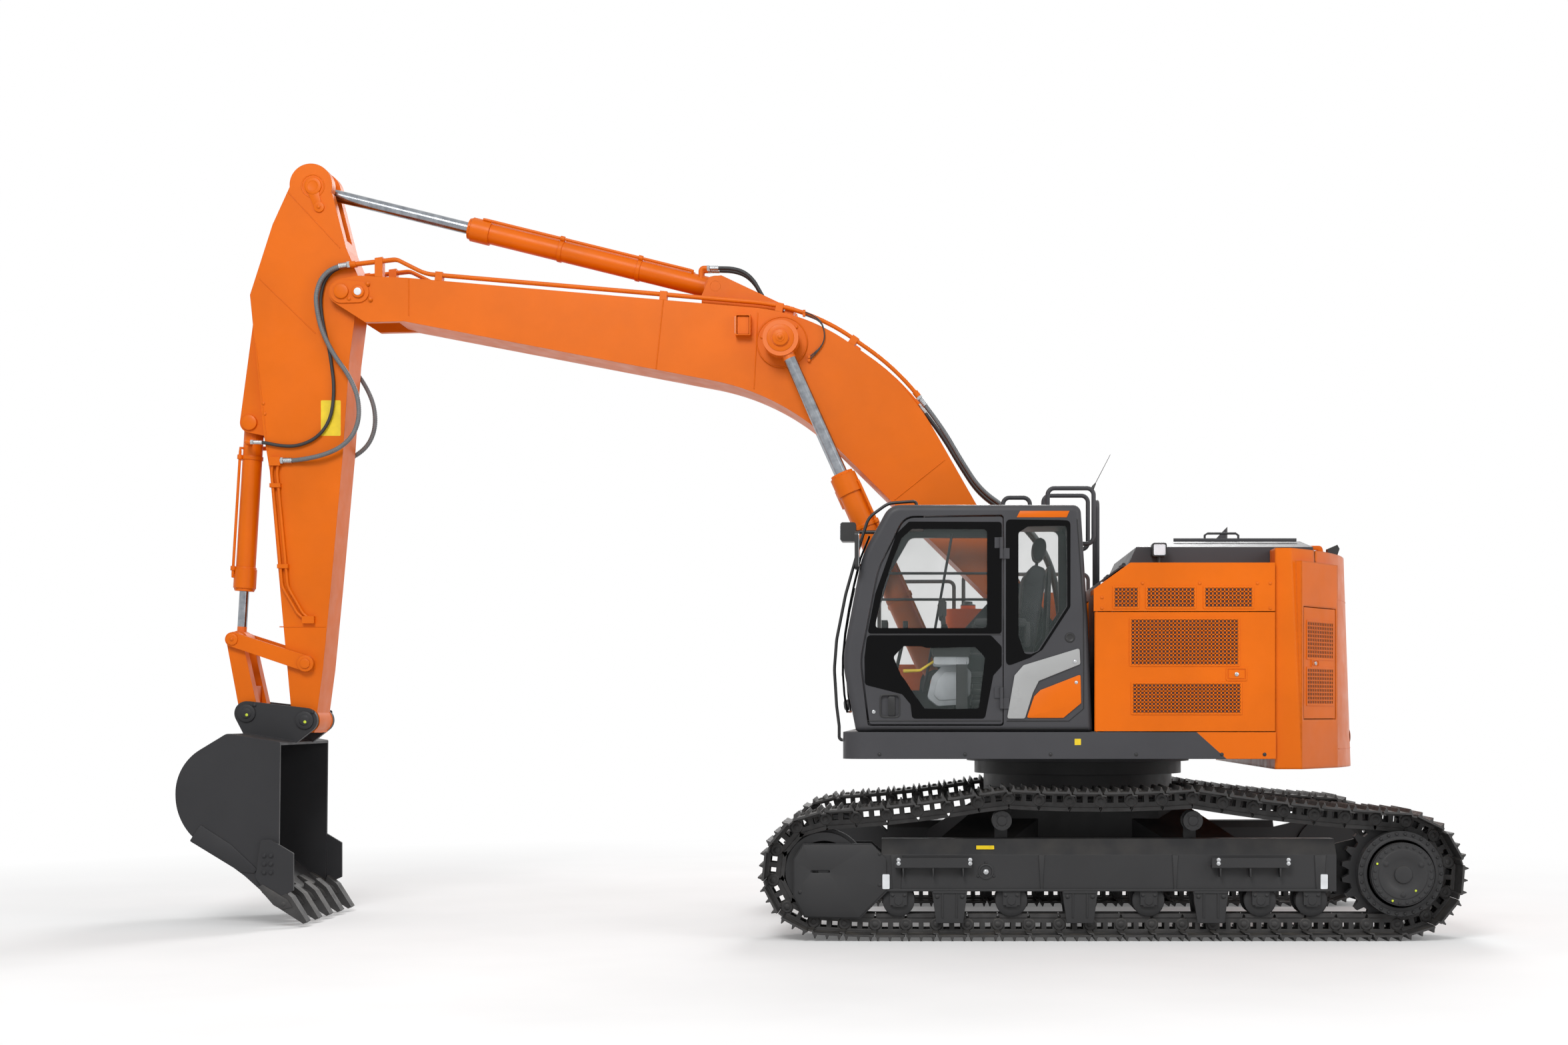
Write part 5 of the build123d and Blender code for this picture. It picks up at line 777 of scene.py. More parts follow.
def shoe_mesh(pitch):
    """One shoe, its bolts, the two links under it and their pin; X runs ahead and Z outwards from the pin."""
    piece = Piece("shoe", "undercarriage")
    low, top = PIN_TO_PLATE, PIN_TO_PLATE + SHOE_PLATE

    def section(grouser, inset):
        edge = [(0.015 * pitch + inset, low - 3), (0.93 * pitch, low - 1), (0.96 * pitch, low - 16)]
        edge += [(1.13 * pitch - inset, low - 19), (1.13 * pitch - inset, low - 10), (0.99 * pitch, low - 6)]
        edge += [(0.975 * pitch, top - 3), (0.965 * pitch, top)]
        for share in (0.89, 0.50, 0.11):
            middle = pitch * share
            edge += [(middle + 13, top), (middle + 6, top + 0.75 * grouser), (middle + 4, top + grouser),
                     (middle - 4, top + grouser), (middle - 6, top + 0.75 * grouser), (middle - 13, top)]
        return edge + [(0.02 * pitch + inset, top - 2)]

    half = SHOE_WIDTH / 2
    rings = [(-half, GROUSER - 9, 5), (-half + 9, GROUSER, 0), (half - 9, GROUSER, 0), (half, GROUSER - 9, 5)]
    vertices = [(x, y, z) for y, grouser, inset in rings for x, z in section(grouser, inset)]
    piece.faces(vertices, skin(len(rings), len(vertices) // len(rings)))
    for x in (0.305 * pitch, 0.695 * pitch):
        for y in (-70, 70):
            piece.bolt((x, y, top), 15, (0, 0, 1), 13)
    for row in (-70, 70):
        windows = ((0.22 * pitch, 0.42 * pitch, -12, 34), (0.58 * pitch, 0.78 * pitch, -12, 34))
        side = Piece("link", "undercarriage")
        holed(side, (0.04 * pitch, 0.96 * pitch), (-PIN_TO_RAIL + 2, low), windows, row - 15, row + 15)
        side.prism(((0.0, -PIN_TO_RAIL), (pitch, -PIN_TO_RAIL), (0.93 * pitch, -48), (0.07 * pitch, -48)),
                   row - 23, row + 23)
        side.prism(rect(0.1 * pitch, 0.9 * pitch, 40, low), row - 23, row + 23)
        for x, radius, inner in ((0.0, 41, 1), (pitch, 44, -1)):
            outward = math.copysign(1, row) * inner
            side.lathe(((-21, radius - 3), (-18, radius), (18, radius), (21, radius - 3)),
                       (x, row + outward, 0), steps=20)
        piece.mesh.from_mesh(side.to_mesh())
    piece.lathe(((-99, 13), (-97, 19), (-45, 19), (-45, 30), (45, 30), (45, 19), (97, 19), (99, 13)),
                (0, 0, 0), steps=16)
    return piece.to_mesh()


def make_tracks():
    pins = link_pins()
    pitch = sum(math.dist(a, b) for a, b in zip(pins, pins[1:])) / (len(pins) - 1)
    shoe = shoe_mesh(pitch)
    for side, sign in (("left", -1), ("right", 1)):
        piece = Piece(f"track_{side}_shoes_and_links", "undercarriage", "track", replaces=(f"track_{side}",))
        for index, pin in enumerate(pins):
            after = pins[(index + 1) % len(pins)]
            angle = math.atan2(after[1] - pin[1], after[0] - pin[0])
            lay = Matrix.Rotation(-angle, 4, "Y")
            piece.stamp(shoe, Matrix.Translation((pin[0], sign * TRACK_MIDDLE, pin[1])) @ lay)
        piece.done()


# Wheels, frames and the final drives' covers

def make_rollers():
    piece = Piece("lower_rollers_flanged", "undercarriage", "charcoal", replaces=("lower_rollers",))
    half = ((24, 46), (26, 93), (45, 95), (92, 95), (96, 98), (97, 113), (110, 113), (114, 108), (115, 60))
    profile = [(-y, r) for y, r in half[::-1]] + list(half)
    for x in ROLLERS_X:
        piece.lathe(profile, (x, -TRACK_MIDDLE, ROLLER_Z), steps=40)
        piece.lathe(((-137, 20), (-133, 36), (133, 36), (137, 20)), (x, -TRACK_MIDDLE, ROLLER_Z), steps=24)
    piece.both().done()

    piece = Piece("roller_mounts", "undercarriage", "charcoal")
    for x in ROLLERS_X:
        for y in (-TRACK_MIDDLE - 143, -TRACK_MIDDLE + 129):
            mount = rounded(((x - 64, 342), (x + 64, 342), (x + 58, 268), (x + 38, 226), (x - 38, 226),
                             (x - 58, 268)), 14)
            piece.prism(mount, y, y + 14)
        for dx in (-42, 42):
            piece.bolt((x + dx, -TRACK_MIDDLE - 143, 308), 11)
        piece.disc((x, -TRACK_MIDDLE - 143, ROLLER_Z), 30, 5)
    for x in (-1007.0, -90.0, 830.0):
        for dx in (-88, 88):
            piece.bolt((x + dx, -TRACK_MIDDLE - 157, 300), 13)
        piece.prism(rect(x - 118, x + 118, 322, 338, 4), -TRACK_MIDDLE - 164, -TRACK_MIDDLE - 156)
        for dx in (-50, 50):
            piece.prism(rect(x + dx - 5, x + dx + 5, 150, 322), -TRACK_MIDDLE - 163, -TRACK_MIDDLE - 157)
    piece.both().done()

    piece = Piece("carrier_rollers_flanged", "undercarriage", "charcoal", replaces=("carrier_rollers",))
    z = 829.0
    for x in CARRIERS_X:
        piece.lathe(((-95, 58), (-92, 70), (-46, 72), (-44, 60), (44, 60), (46, 72), (92, 70), (95, 58),
                     (95, 36), (106, 34)), (x, -TRACK_MIDDLE, z), steps=36)
        piece.lathe(((-104, 26), (-101, 34), (-94, 36)), (x, -TRACK_MIDDLE, z), steps=24)
        piece.bolt_circle(x, -TRACK_MIDDLE - 94, z, 48, 4, math.pi / 4, 6)
    piece.both().done()


def make_frames():
    outer = -1440.0
    piece = Piece("track_frame_fittings", "undercarriage", "charcoal", bevel=2.0)
    for x_low, x_high in ((-1420, -1340), (-380, -340), (560, 600), (1560, 1640)):
        piece.prism(((x_low, 592), (x_high, 592), (x_high - 12, 345), (x_low + 12, 345)), outer - 8,
                    outer + 1)
    piece.prism(rect(-1440, 1660, 336, 352, 4), outer - 14, outer + 1)
    for x_low in (-1394.0, 830.0):
        for dx in (60, 270, 480):
            piece.prism(((x_low + dx - 6, 505), (x_low + dx + 6, 505), (x_low + dx + 6, 440),
                         (x_low + dx - 2, 440)), outer - 66, outer + 1)
    slit = rect(-1985, -1850, 466, 484, 8)
    plate = rounded(((-2102, 300), (-2102, 560), (-2036, 664), (-1548, 664), (-1452, 560), (-1452, 348),
                     (-1646, 150), (-2024, 158)), 16)
    plate_y = -TRACK_MIDDLE - 145
    ring_around(piece, plate, slit, plate_y - 9, plate_y + 1)
    for x, z in ((-2060, 330), (-1500, 600), (-1500, 380)):
        piece.bolt((x, plate_y - 9, z), 10)
    piece.both().done()

    piece = Piece("frame_bolts", "undercarriage", "steel")
    for x in (-1366, -864, 876, 1366):
        for z in (536, 562):
            piece.bolt((x, outer - 70, z), 11)
    piece.disc((-752, outer - 2, 474), 20, 14).bolt((-752, outer - 16, 474), 13)
    piece.both().done()

    piece = Piece("adjuster_cover", "undercarriage", "charcoal")
    piece.lathe(((0, 56), (5, 56), (7, 50), (7, 44), (2, 42)), (-752, outer, 474), LEFT)
    piece.bolt_circle(-752, outer, 474, 64, 3, math.pi / 2, 8)
    piece.both().done()

    piece = Piece("frame_labels", "undercarriage", "white", "yellow")
    for x in (-1455, 1627):
        piece.prism(rect(x - 25, x + 25, 352, 456, 8), outer - 10, outer - 8)
    piece.use("yellow")
    tilt = laid(-756, -1405, 641, -39.8, "X")
    piece.prism(rect(-63, 63, -16, 16, 4), -2.2, 0.8, tilt)
    piece.both().done()


def make_drives():
    x, z = SPROCKET
    piece = Piece("final_drive_covers", "undercarriage", "charcoal", "mark")
    face, rim = -TRACK_MIDDLE - 265, -TRACK_MIDDLE - 200
    piece.lathe(((0, 216), (4, 212), (4, 176), (9, 170), (9, 118), (5, 112), (5, 66), (18, 60), (20, 50)),
                (x, face, z), LEFT, 64)
    piece.lathe(((0, 262), (5, 262), (7, 258), (7, 240), (0, 236)), (x, rim, z), LEFT, 64)
    step = 2 * math.pi / 24
    piece.bolt_circle(x, face - 4, z, 198, 24, step / 2, 9, 8)
    piece.bolt_circle(x, rim, z, 281, 30, 0, 9.5, 9)
    for angle in (0.5, 2.6, 4.7):
        piece.bolt((x + 142 * math.cos(angle), face - 9, z + 142 * math.sin(angle)), 15, height=8)
    piece.use("mark")
    for ring, steps_on in ((198, 10.5), (142, -3.5), (198, -7.5)):
        angle = step * steps_on
        piece.disc((x + ring * math.cos(angle), face - 12, z + ring * math.sin(angle)), 8, 2.5, steps=14)
    piece.both().done()

    piece = Piece("idler_hubs", "undercarriage", "charcoal")
    piece.lathe(((0, 62), (8, 60), (10, 42), (18, 40), (20, 30)), (IDLER[0], -TRACK_MIDDLE - 121, IDLER[1]),
                LEFT)
    piece.both().done()


def make_car_body():
    piece = Piece("car_body_fittings", "undercarriage", "charcoal")
    for x, y in circle(0, 0, 690, 36):
        piece.bolt((x, y, 1134), 13, (0, 0, 1), 1.5, washer=False)
    for x, y in circle(0, 0, 707, 48):
        piece.bolt((x, y, 960), 12, (0, 0, 1), 14)
    for sx in (-1, 1):
        for y in (-260, 0, 260):
            piece.bolt((sx * 760, y, 620), 14, (sx, 0, 0))
        piece.prism(rect(-190, 190, -90, 90), -4, 4, laid(sx * 760, 0, 740, 90))
    piece.done()


make_tracks()
make_rollers()
make_frames()
make_drives()
make_car_body()


# Engine house: mesh over the grilles, latches, hood, exhaust and counterweight

SIDE_Y = -1495.0
GRILLE_PITCH, GRILLE_BAR = 27.0, 9.0


def grille_mesh(back, mesh, window, y, frame=None):
    """Dark sheet of painted shade behind a grille, square mesh over it, its pressed rim; y is the panel's
    face.
    """
    x_low, x_high, z_low, z_high = window
    # painted shade: a dark red sheet just behind the mesh, where the grille opening is in shade
    back.prism(rect(x_low, x_high, z_low, z_high), y - 0.9, y - 0.2, frame)
    for low, high, upright in ((x_low, x_high, True), (z_low, z_high, False)):
        count = max(1, round((high - low) / GRILLE_PITCH))
        for index in range(count + 1):
            middle = low + (high - low) * index / count
            edges = middle - GRILLE_BAR / 2, middle + GRILLE_BAR / 2
            bar = rect(*edges, z_low, z_high) if upright else rect(x_low, x_high, *edges)
            mesh.prism(bar, y - 3.6, y - 0.6, frame)
    rim = rect(x_low - 12, x_high + 12, z_low - 12, z_high + 12, 9)
    inner = rect(x_low, x_high, z_low, z_high, 3)
    ring_around(mesh, rim, inner, y - 4.5, y - 0.1, frame)


def latch(body_piece, bolt_piece, x_low, x_high, z_low, z_high, y, frame=None):
    """Paddle latch in its pressed tray."""
    outer = rect(x_low, x_high, z_low, z_high, 12)
    inner = rect(x_low + 9, x_high - 9, z_low + 9, z_high - 9, 8)
    ring_around(body_piece, outer, inner, y - 5, y - 0.1, frame)
    paddle = rect(x_low + 18, x_high - 18, z_low + 16, z_high - 16, 7)
    body_piece.prism(paddle, y - 4, y - 0.1, frame)
    frame = frame or Matrix.Identity(4)
    middle = frame @ Vector(((x_low + x_high) / 2, y - 4, (z_low + z_high) / 2))
    out = (frame.to_3x3() @ Vector(LEFT)).normalized()
    bolt_piece.lathe(((0, 15), (6, 14), (8, 11)), middle, out, 20)
    bolt_piece.lathe(((8, 7), (10, 6)), middle, out, 6)


def make_house():
    front, rear = Vector((1467.4, -1460, 0)), Vector((1812.4, -1000, 0))
    ahead = (rear - front).normalized()
    inward = Vector((0, 0, 1)).cross(ahead)
    corner = Matrix.Translation(front) @ Matrix((ahead, inward, (0, 0, 1))).transposed().to_4x4()
    door_latch = (930, 1077, 1816, 1909)
    # Name, body, face in Y, frame, windows, latch
    for name, body, y, frame, windows, area in (
            ("upperstructure", "upperstructure", SIDE_Y, None,
             ((147, 311, 2333, 2470), (377, 708, 2333, 2470), (782, 1113, 2333, 2470)), None),
            ("left_service_door", "left_service_door", SIDE_Y, None,
             ((264, 1015, 1930, 2247), (276, 1030, 1590, 1796)), door_latch),
            ("right_service_door", "right_service_door", SIDE_Y, Matrix.Scale(-1, 4, (0, 1, 0)),
             ((478, 1102, 1930, 2249),), door_latch),
            ("corner_door", "counterweight_left_door", 0, corner,
             ((82, 492, 1654, 1906), (82, 492, 1981, 2237)), (143, 262, 1915, 1972))):
        # each grille's dark sheet is painted shade behind the mesh
        back = Piece(f"grille_painted_shade_{name}", body, "painted_shade_red")
        mesh = Piece(f"grille_mesh_{name}", body, "orange")
        for window in windows:
            grille_mesh(back, mesh, window, y, frame)
        bolts = Piece(f"latch_bolt_{name}", body, "steel")
        if area:
            latch(mesh, bolts, *area, y, frame)
        for piece in (back, mesh, bolts) if area else (back, mesh):
            piece.done()

    piece = Piece("house_edge_bolts", "upperstructure", "orange")
    for x in (60, 345, 745, 1150, 1240):
        piece.bolt((x, SIDE_Y, 2500 if x > 100 else 2400), 9)
    for x in (60, 1240):
        piece.bolt((x, SIDE_Y, 2325), 9)
    piece.done()

    piece = Piece("skirt_label", "upperstructure", "yellow")
    piece.prism(rect(-132, -88, 1366, 1410, 4), SIDE_Y - 1.2, SIDE_Y + 0.4)
    piece.both().done()

    piece = Piece("skirt_bolts", "upperstructure", "black")
    for x in (-1500, -900, -300, 300, 900, 1200):
        piece.bolt((x, SIDE_Y, 1300), 10)
    piece.both().done()

    hood = Piece("hood_fittings", "engine_hood", "grey", "black", bevel=1.5)
    hood.prism(rect(-215, 215, -150, 150, 40), -5, 12, laid(1075, -300, 2861, -90, "X"))
    for y in (-850, -560, -20, 180):
        hood.box(640, 1540, y - 9, y + 9, 2846 if y < -700 else 2860, 2870)
    hood.use("black")
    for y in (-620, 60):
        hood.tube(((900, y, 2862), (900, y, 2912), (920, y, 2926), (1130, y, 2926), (1150, y, 2912),
                   (1150, y, 2862)), 9, 10)
    hood.done()

    piece = Piece("exhaust_band", "upperstructure", "track")
    piece.lathe(((-9, 76), (-7, 80), (7, 80), (9, 76)), (1182, 640, 2760), (0, 0, 1), 40)
    piece.bolt((1182 - 84, 640, 2760), 9, (-1, 0, 0), 12)
    piece.done()

    piece = Piece("counterweight_fittings", "upperstructure", "orange", "black", bevel=1.5)
    for y in (-560, 560):
        eye = rounded(((1640, 2740), (1800, 2740), (1780, 2838), (1660, 2838)), 34)
        hole = rect(1688, 1752, 2768, 2808, 18)
        ring_around(piece, eye, hole, y - 24, y + 24)
    piece.use("black")
    arc = [math.radians(a) for a in range(-28, 44, 2)]
    for z in (1330, 2420):
        radius = 2070 - 52 * (z - 1195) / 1557
        piece.tube([(radius * math.cos(a), radius * math.sin(a), z) for a in arc], 3, 6)
    for y in (-420, 420):
        piece.lathe(((0, 52), (4, 50), (5, 26), (-8, 24)), (2012, y, 1420), (1, 0, 0.04), 32)
    piece.done()

    piece = Piece("rear_lamps", "upperstructure", "lens", "black")
    piece.use("black").lathe(((0, 17), (10, 16), (12, 12)), (1868, -705, 2800), (1, 0, 0), 24)
    piece.use("lens").lathe(((12, 11), (15, 9), (17, 4)), (1868, -705, 2800), (1, 0, 0), 24)
    piece.done()


# Cab: glass rims, garnish, handle, trim and inside fittings

CAB_Y = -1460.0


def make_cab():
    rims = Piece("cab_glass_rim", "upperstructure", "frit")
    rear_outer = ((-612, 2952), (-159, 2945), (-159, 2339), (-357, 2035), (-443, 1980), (-612, 1915))
    rear_clear = ((-524, 2858), (-459, 2902), (-185, 2909), (-181, 2339), (-381, 2027), (-435, 2004),
                  (-482, 2007), (-524, 2136))
    ring_around(rims, rounded(rear_outer, 35), rounded(rear_clear, 28), CAB_Y - 2.5, CAB_Y - 0.1)
    rims.done()

    rims = Piece("door_glass_rim", "cab_door", "frit")
    upper = ((-1585, 2149), (-1530, 2430), (-1450, 2656), (-1380, 2852), (-1294, 2936), (-642, 2934),
             (-642, 2149))
    upper_clear = ((-1535, 2188), (-1478, 2450), (-1410, 2660), (-1345, 2820), (-1275, 2884), (-745, 2884),
                   (-745, 2188))
    ring_around(rims, rounded(upper, 24), rounded(upper_clear, 30), CAB_Y - 2.5, CAB_Y - 0.1)
    lower = ((-1588, 2136), (-716, 2136), (-642, 2058), (-642, 1921), (-701, 1855), (-760, 1551),
             (-1271, 1551), (-1282, 1652), (-1341, 1723), (-1604, 1790), (-1606, 1980))
    lower_clear = ((-1333, 2060), (-1208, 2060), (-1169, 2048), (-826, 2056), (-758, 1980), (-802, 1622),
                   (-1036, 1618), (-1185, 1622), (-1263, 1731), (-1317, 1816), (-1350, 1858), (-1403, 1985))
    ring_around(rims, rounded(lower, 30), rounded(lower_clear, 24), CAB_Y - 2.5, CAB_Y - 0.1)
    rims.done()

    piece = Piece("door_fittings", "cab_door", "black", "steel", bevel=1.0)
    tray = rect(-1500, -1354, 1556, 1724, 34)
    hollow = rect(-1490, -1364, 1567, 1713, 28)
    ring_around(piece, tray, hollow, CAB_Y - 4, CAB_Y - 0.1)
    piece.prism(rect(-1440, -1392, 1574, 1706, 12), CAB_Y + 1, CAB_Y + 9)
    for z in (2143, 1536):
        piece.prism(rect(-1575, -646, z - 4, z + 4, 3), CAB_Y - 3.5, CAB_Y - 0.1)
    piece.use("steel").lathe(((0, 15), (3, 14), (4, 6)), (-1541, CAB_Y, 1598), LEFT, 20)
    piece.done()

    piece = Piece("cab_garnish", "upperstructure", "silver", bevel=3.0)
    piece.prism(rounded(((-605, 1551), (-552, 1855), (-490, 1926), (-95, 2047), (-89, 1934), (-381, 1816),
                         (-423, 1731), (-479, 1551)), 16), CAB_Y - 12, CAB_Y - 0.1)
    piece.done()
    piece = Piece("cab_plate", "upperstructure", "orange", bevel=2.0)
    piece.prism(rounded(((-466, 1556), (-415, 1707), (-370, 1752), (-88, 1862), (-84, 1660), (-209, 1556)),
                        12), CAB_Y - 9, CAB_Y - 0.1)
    piece.prism(((-513, 3012), (-165, 3012), (-185, 2966), (-537, 2966)), CAB_Y - 2.5, CAB_Y + 0.5)
    piece.done()

    piece = Piece("cab_side_fittings", "upperstructure", "black", "steel")
    piece.lathe(((0, 36), (4, 34), (5, 26), (2, 22), (2, 12)), (-162, CAB_Y, 2121), LEFT, 28)
    piece.use("steel").bolt((-128, CAB_Y - 12, 1952), 11)
    piece.bolt((-118, CAB_Y - 9, 1806), 9)
    piece.use("black")
    panel_line = ((-606, 1533), (-170, 1533), (-66, 1621), (-66, 2058), (-66, 2300), (-110, 2952))
    piece.tube([(x, CAB_Y, z) for x, z in panel_line], 3.5, 6)
    piece.tube([(x, CAB_Y - 0.5, z) for x, z in ((-1560, 1480), (-640, 1480), (-40, 1480))], 4, 6)
    piece.done()

    # The rim of the front window and the wiper, on the cab's bowed front
    bow = [(-1728, 1600), (-1747, 1720), (-1757, 1860), (-1757, 1990), (-1742, 2150), (-1715, 2320),
           (-1678, 2500), (-1634, 2680), (-1570, 2840)]
    piece = Piece("front_window_rim", "upperstructure", "frit", "black")
    for y in (-1392, -568):
        piece.tube([(x - 3, y, z) for x, z in bow], 8, 6)
    piece.tube([(-1728 - 3, y, 1600) for y in (-1392, -568)], 8, 6)
    piece.use("black").tube([(x - 14, -1150 + 0.25 * (z - 1600), z) for x, z in bow[1:7]], 6, 8)
    piece.tube([(x - 20, -1150 + 0.25 * (z - 1600), z) for x, z in bow[2:8]], 4, 8)
    piece.lathe(((0, 40), (30, 36), (36, 20)), (-1728, -1120, 1650), (-1, 0, -0.1), 24)
    piece.done()

    piece = Piece("roof_fittings", "upperstructure", "black", bevel=1.0)
    hatch = rect(-1170, -650, -1230, -730, 60)
    ring_around(piece, rect(-1200, -620, -1265, -695, 70), hatch, -3070, -3057, laid(0, 0, 0, -90, "X"))
    piece.done()

    piece = Piece("antenna", "upperstructure", "black")
    piece.tube(((20, -1150, 3196), (28, -1150, 3216), (44, -1150, 3240)), [13, 11, 5], 12)
    piece.tube(((40, -1150, 3234), (150, -1150, 3446)), [2.6, 1.6], 8)
    piece.done()

    piece = Piece("lamp_lenses", "upperstructure", "lens", "black")
    piece.prism(rect(435, 525, 2706, 2790, 14), -1356, -1349)
    piece.use("black")
    ring_around(piece, rect(429, 531, 2700, 2796, 16), rect(438, 522, 2709, 2787, 12), -1360, -1349)
    piece.use("lens")
    lay = laid(-1805, -630, 2932, -90)
    piece.prism(rect(-60, 60, -56, 56, 14), -4, 3, lay)
    piece.done()

    piece = Piece("mirror_faces", "upperstructure", "mirror")
    lay = laid(-1644, CAB_Y - 27, 2731, 90)
    piece.prism(rect(-80, 80, -122, 122, 26), -3, 1, lay)
    lay = laid(-1590, 1504, 2460, 90)
    piece.prism(rect(-77, 77, -120, -22, 20), -3, 1, lay)
    piece.prism(rect(-77, 77, 22, 120, 20), -3, 1, lay)
    piece.done()

    piece = Piece("console_bodies", "upperstructure", "light_grey", bevel=3.0)
    outline = rounded(((-1165, 1700), (-1130, 1850), (-1060, 1925), (-900, 1935), (-850, 1880), (-860, 1720),
                       (-930, 1650), (-1090, 1640)), 40)
    piece.prism(outline, -1284, -1240)
    piece.prism(outline, -722, -678)
    inner = rounded(((-1120, 1720), (-1090, 1830), (-1040, 1885), (-920, 1890), (-890, 1860), (-900, 1740),
                     (-950, 1690), (-1080, 1680)), 30)
    piece.prism(inner, -1292, -1283)
    piece.prism(rect(-1120, -870, 1932, 1992, 20), -1370, -1246)
    piece.prism(rect(-1120, -870, 1932, 1992, 20), -716, -590)
    piece.done()
    piece = Piece("joystick_boots", "upperstructure", "black")
    for y in (-1330, -630):
        ribs = []
        for k in range(6):
            ribs += [(2 + 15 * k, 47 - 5 * k), (9 + 15 * k, 38 - 5 * k)]
        piece.lathe(ribs, (-1040, y, 2140), (-0.06, 0, 1), 28)
        piece.lathe(((0, 17), (20, 21), (60, 25), (100, 24), (118, 27), (130, 20)), (-1051, y, 2275),
                    (-0.08, 0, 1), 20)
    piece.done()
    piece = Piece("safety_lever", "upperstructure", "yellow")
    piece.tube(((-1110, -1325, 1962), (-1160, -1325, 1930), (-1215, -1325, 1893), (-1335, -1325, 1888)),
               [9, 9, 10, 14], 14)
    piece.done()
    piece = Piece("cab_lining", "upperstructure", "seat_edge", "black", bevel=4.0)
    piece.box(-1380, -1190, -1390, -570, 2940, 2986)
    piece.box(-630, -160, -1390, -570, 2945, 2986)
    piece.use("black").box(-1590, -120, -1400, -560, 1529.5, 1536)
    piece.box(-300, -130, -1390, -570, 1536, 2100)
    piece.done()
    piece = Piece("monitor_face", "upperstructure", "frit")
    lay = laid(-1454, -680, 2180, 90)
    piece.prism(rect(-92, 92, -82, 82, 10), -3, 1, lay)
    piece.done()


def make_seat():
    """Cushion, back and headrest swollen by cloth simulation, with two armrests and a slim base."""
    middle = -980.0
    pads = (("seat_cushion", ((-945, 1885), (-945, 1975), (-900, 2008), (-470, 2008), (-462, 1885)), 240, 14),
            ("seat_back", ((-530, 1985), (-415, 1975), (-312, 2640), (-400, 2672), (-468, 2560)), 225, 14),
            ("seat_headrest", ((-400, 2690), (-330, 2680), (-302, 2835), (-350, 2860), (-392, 2840)), 130, 9))
    for name, side, half, cap in pads:
        piece = Piece(name, "upperstructure", "seat", replaces=("operator_seat",))
        piece.prism(rounded(side, 32), middle - half, middle + half)
        pad = piece.done()
        swell(pad, cap / 1000)
    piece = Piece("seat_trim", "upperstructure", "seat_edge", "black", replaces=("operator_seat",), bevel=4.0)
    for y in (middle - 310, middle + 310):
        piece.prism(rect(-828, -462, 2207, 2263, 24), y - 38, y + 38)
        piece.prism(rect(-472, -428, 2060, 2240, 16), min(y, middle + 236), max(y, middle - 236))
    piece.use("black")
    piece.prism(rect(-940, -470, 1846, 1888, 14), middle - 232, middle + 232)
    for k in range(7):
        inset = 12 if k % 2 else 0
        piece.box(-850 + inset, -490 - inset, middle - 165 + inset, middle + 165 - inset, 1565 + 40 * k,
                  1605 + 40 * k)
    piece.box(-860, -480, middle - 170, middle + 170, 1528, 1567)
    piece.tube(((-375, middle, 2640), (-360, middle, 2720)), 12, 12)
    piece.prism(rounded(((-322, 2030), (-292, 2030), (-272, 2640), (-296, 2650)), 10), middle - 190,
                middle + 190)
    piece.done()


def swell(piece, cap):
    """The pad filled by cloth simulation, each point held near where it began."""
    mesh = piece.data
    remesh = piece.modifiers.new("remesh", "REMESH")
    remesh.mode = "VOXEL"
    remesh.voxel_size = 0.014
    bake(piece)
    start = [vertex.co.copy() for vertex in piece.data.vertices]
    cloth = piece.modifiers.new("cloth", "CLOTH")
    cloth.settings.use_pressure = True
    cloth.settings.uniform_pressure_force = 4.0
    cloth.settings.effector_weights.gravity = 0.0
    cloth.settings.quality = 5
    for number in range(1, 21):
        bpy.context.scene.frame_set(number)
    bake(piece)
    bpy.context.scene.frame_set(1)
    for vertex, before in zip(piece.data.vertices, start):
        moved = vertex.co - before
        if moved.length > cap:
            vertex.co = before + moved.normalized() * cap
    smooth = piece.modifiers.new("smooth", "SMOOTH")
    smooth.iterations = 3
    smooth.factor = 0.5
    finer = piece.modifiers.new("finer", "SUBSURF")
    finer.levels = finer.render_levels = 1
    bake(piece)
    piece.data.shade_smooth()
    if mesh.users == 0:
        bpy.data.meshes.remove(mesh)


def bake(piece):
    """The piece's modifiers applied to its mesh."""
    graph = bpy.context.evaluated_depsgraph_get()
    graph.update()
    mesh = bpy.data.meshes.new_from_object(piece.evaluated_get(graph), depsgraph=graph)
    piece.modifiers.clear()
    piece.data = mesh


# Boom, arm and bucket

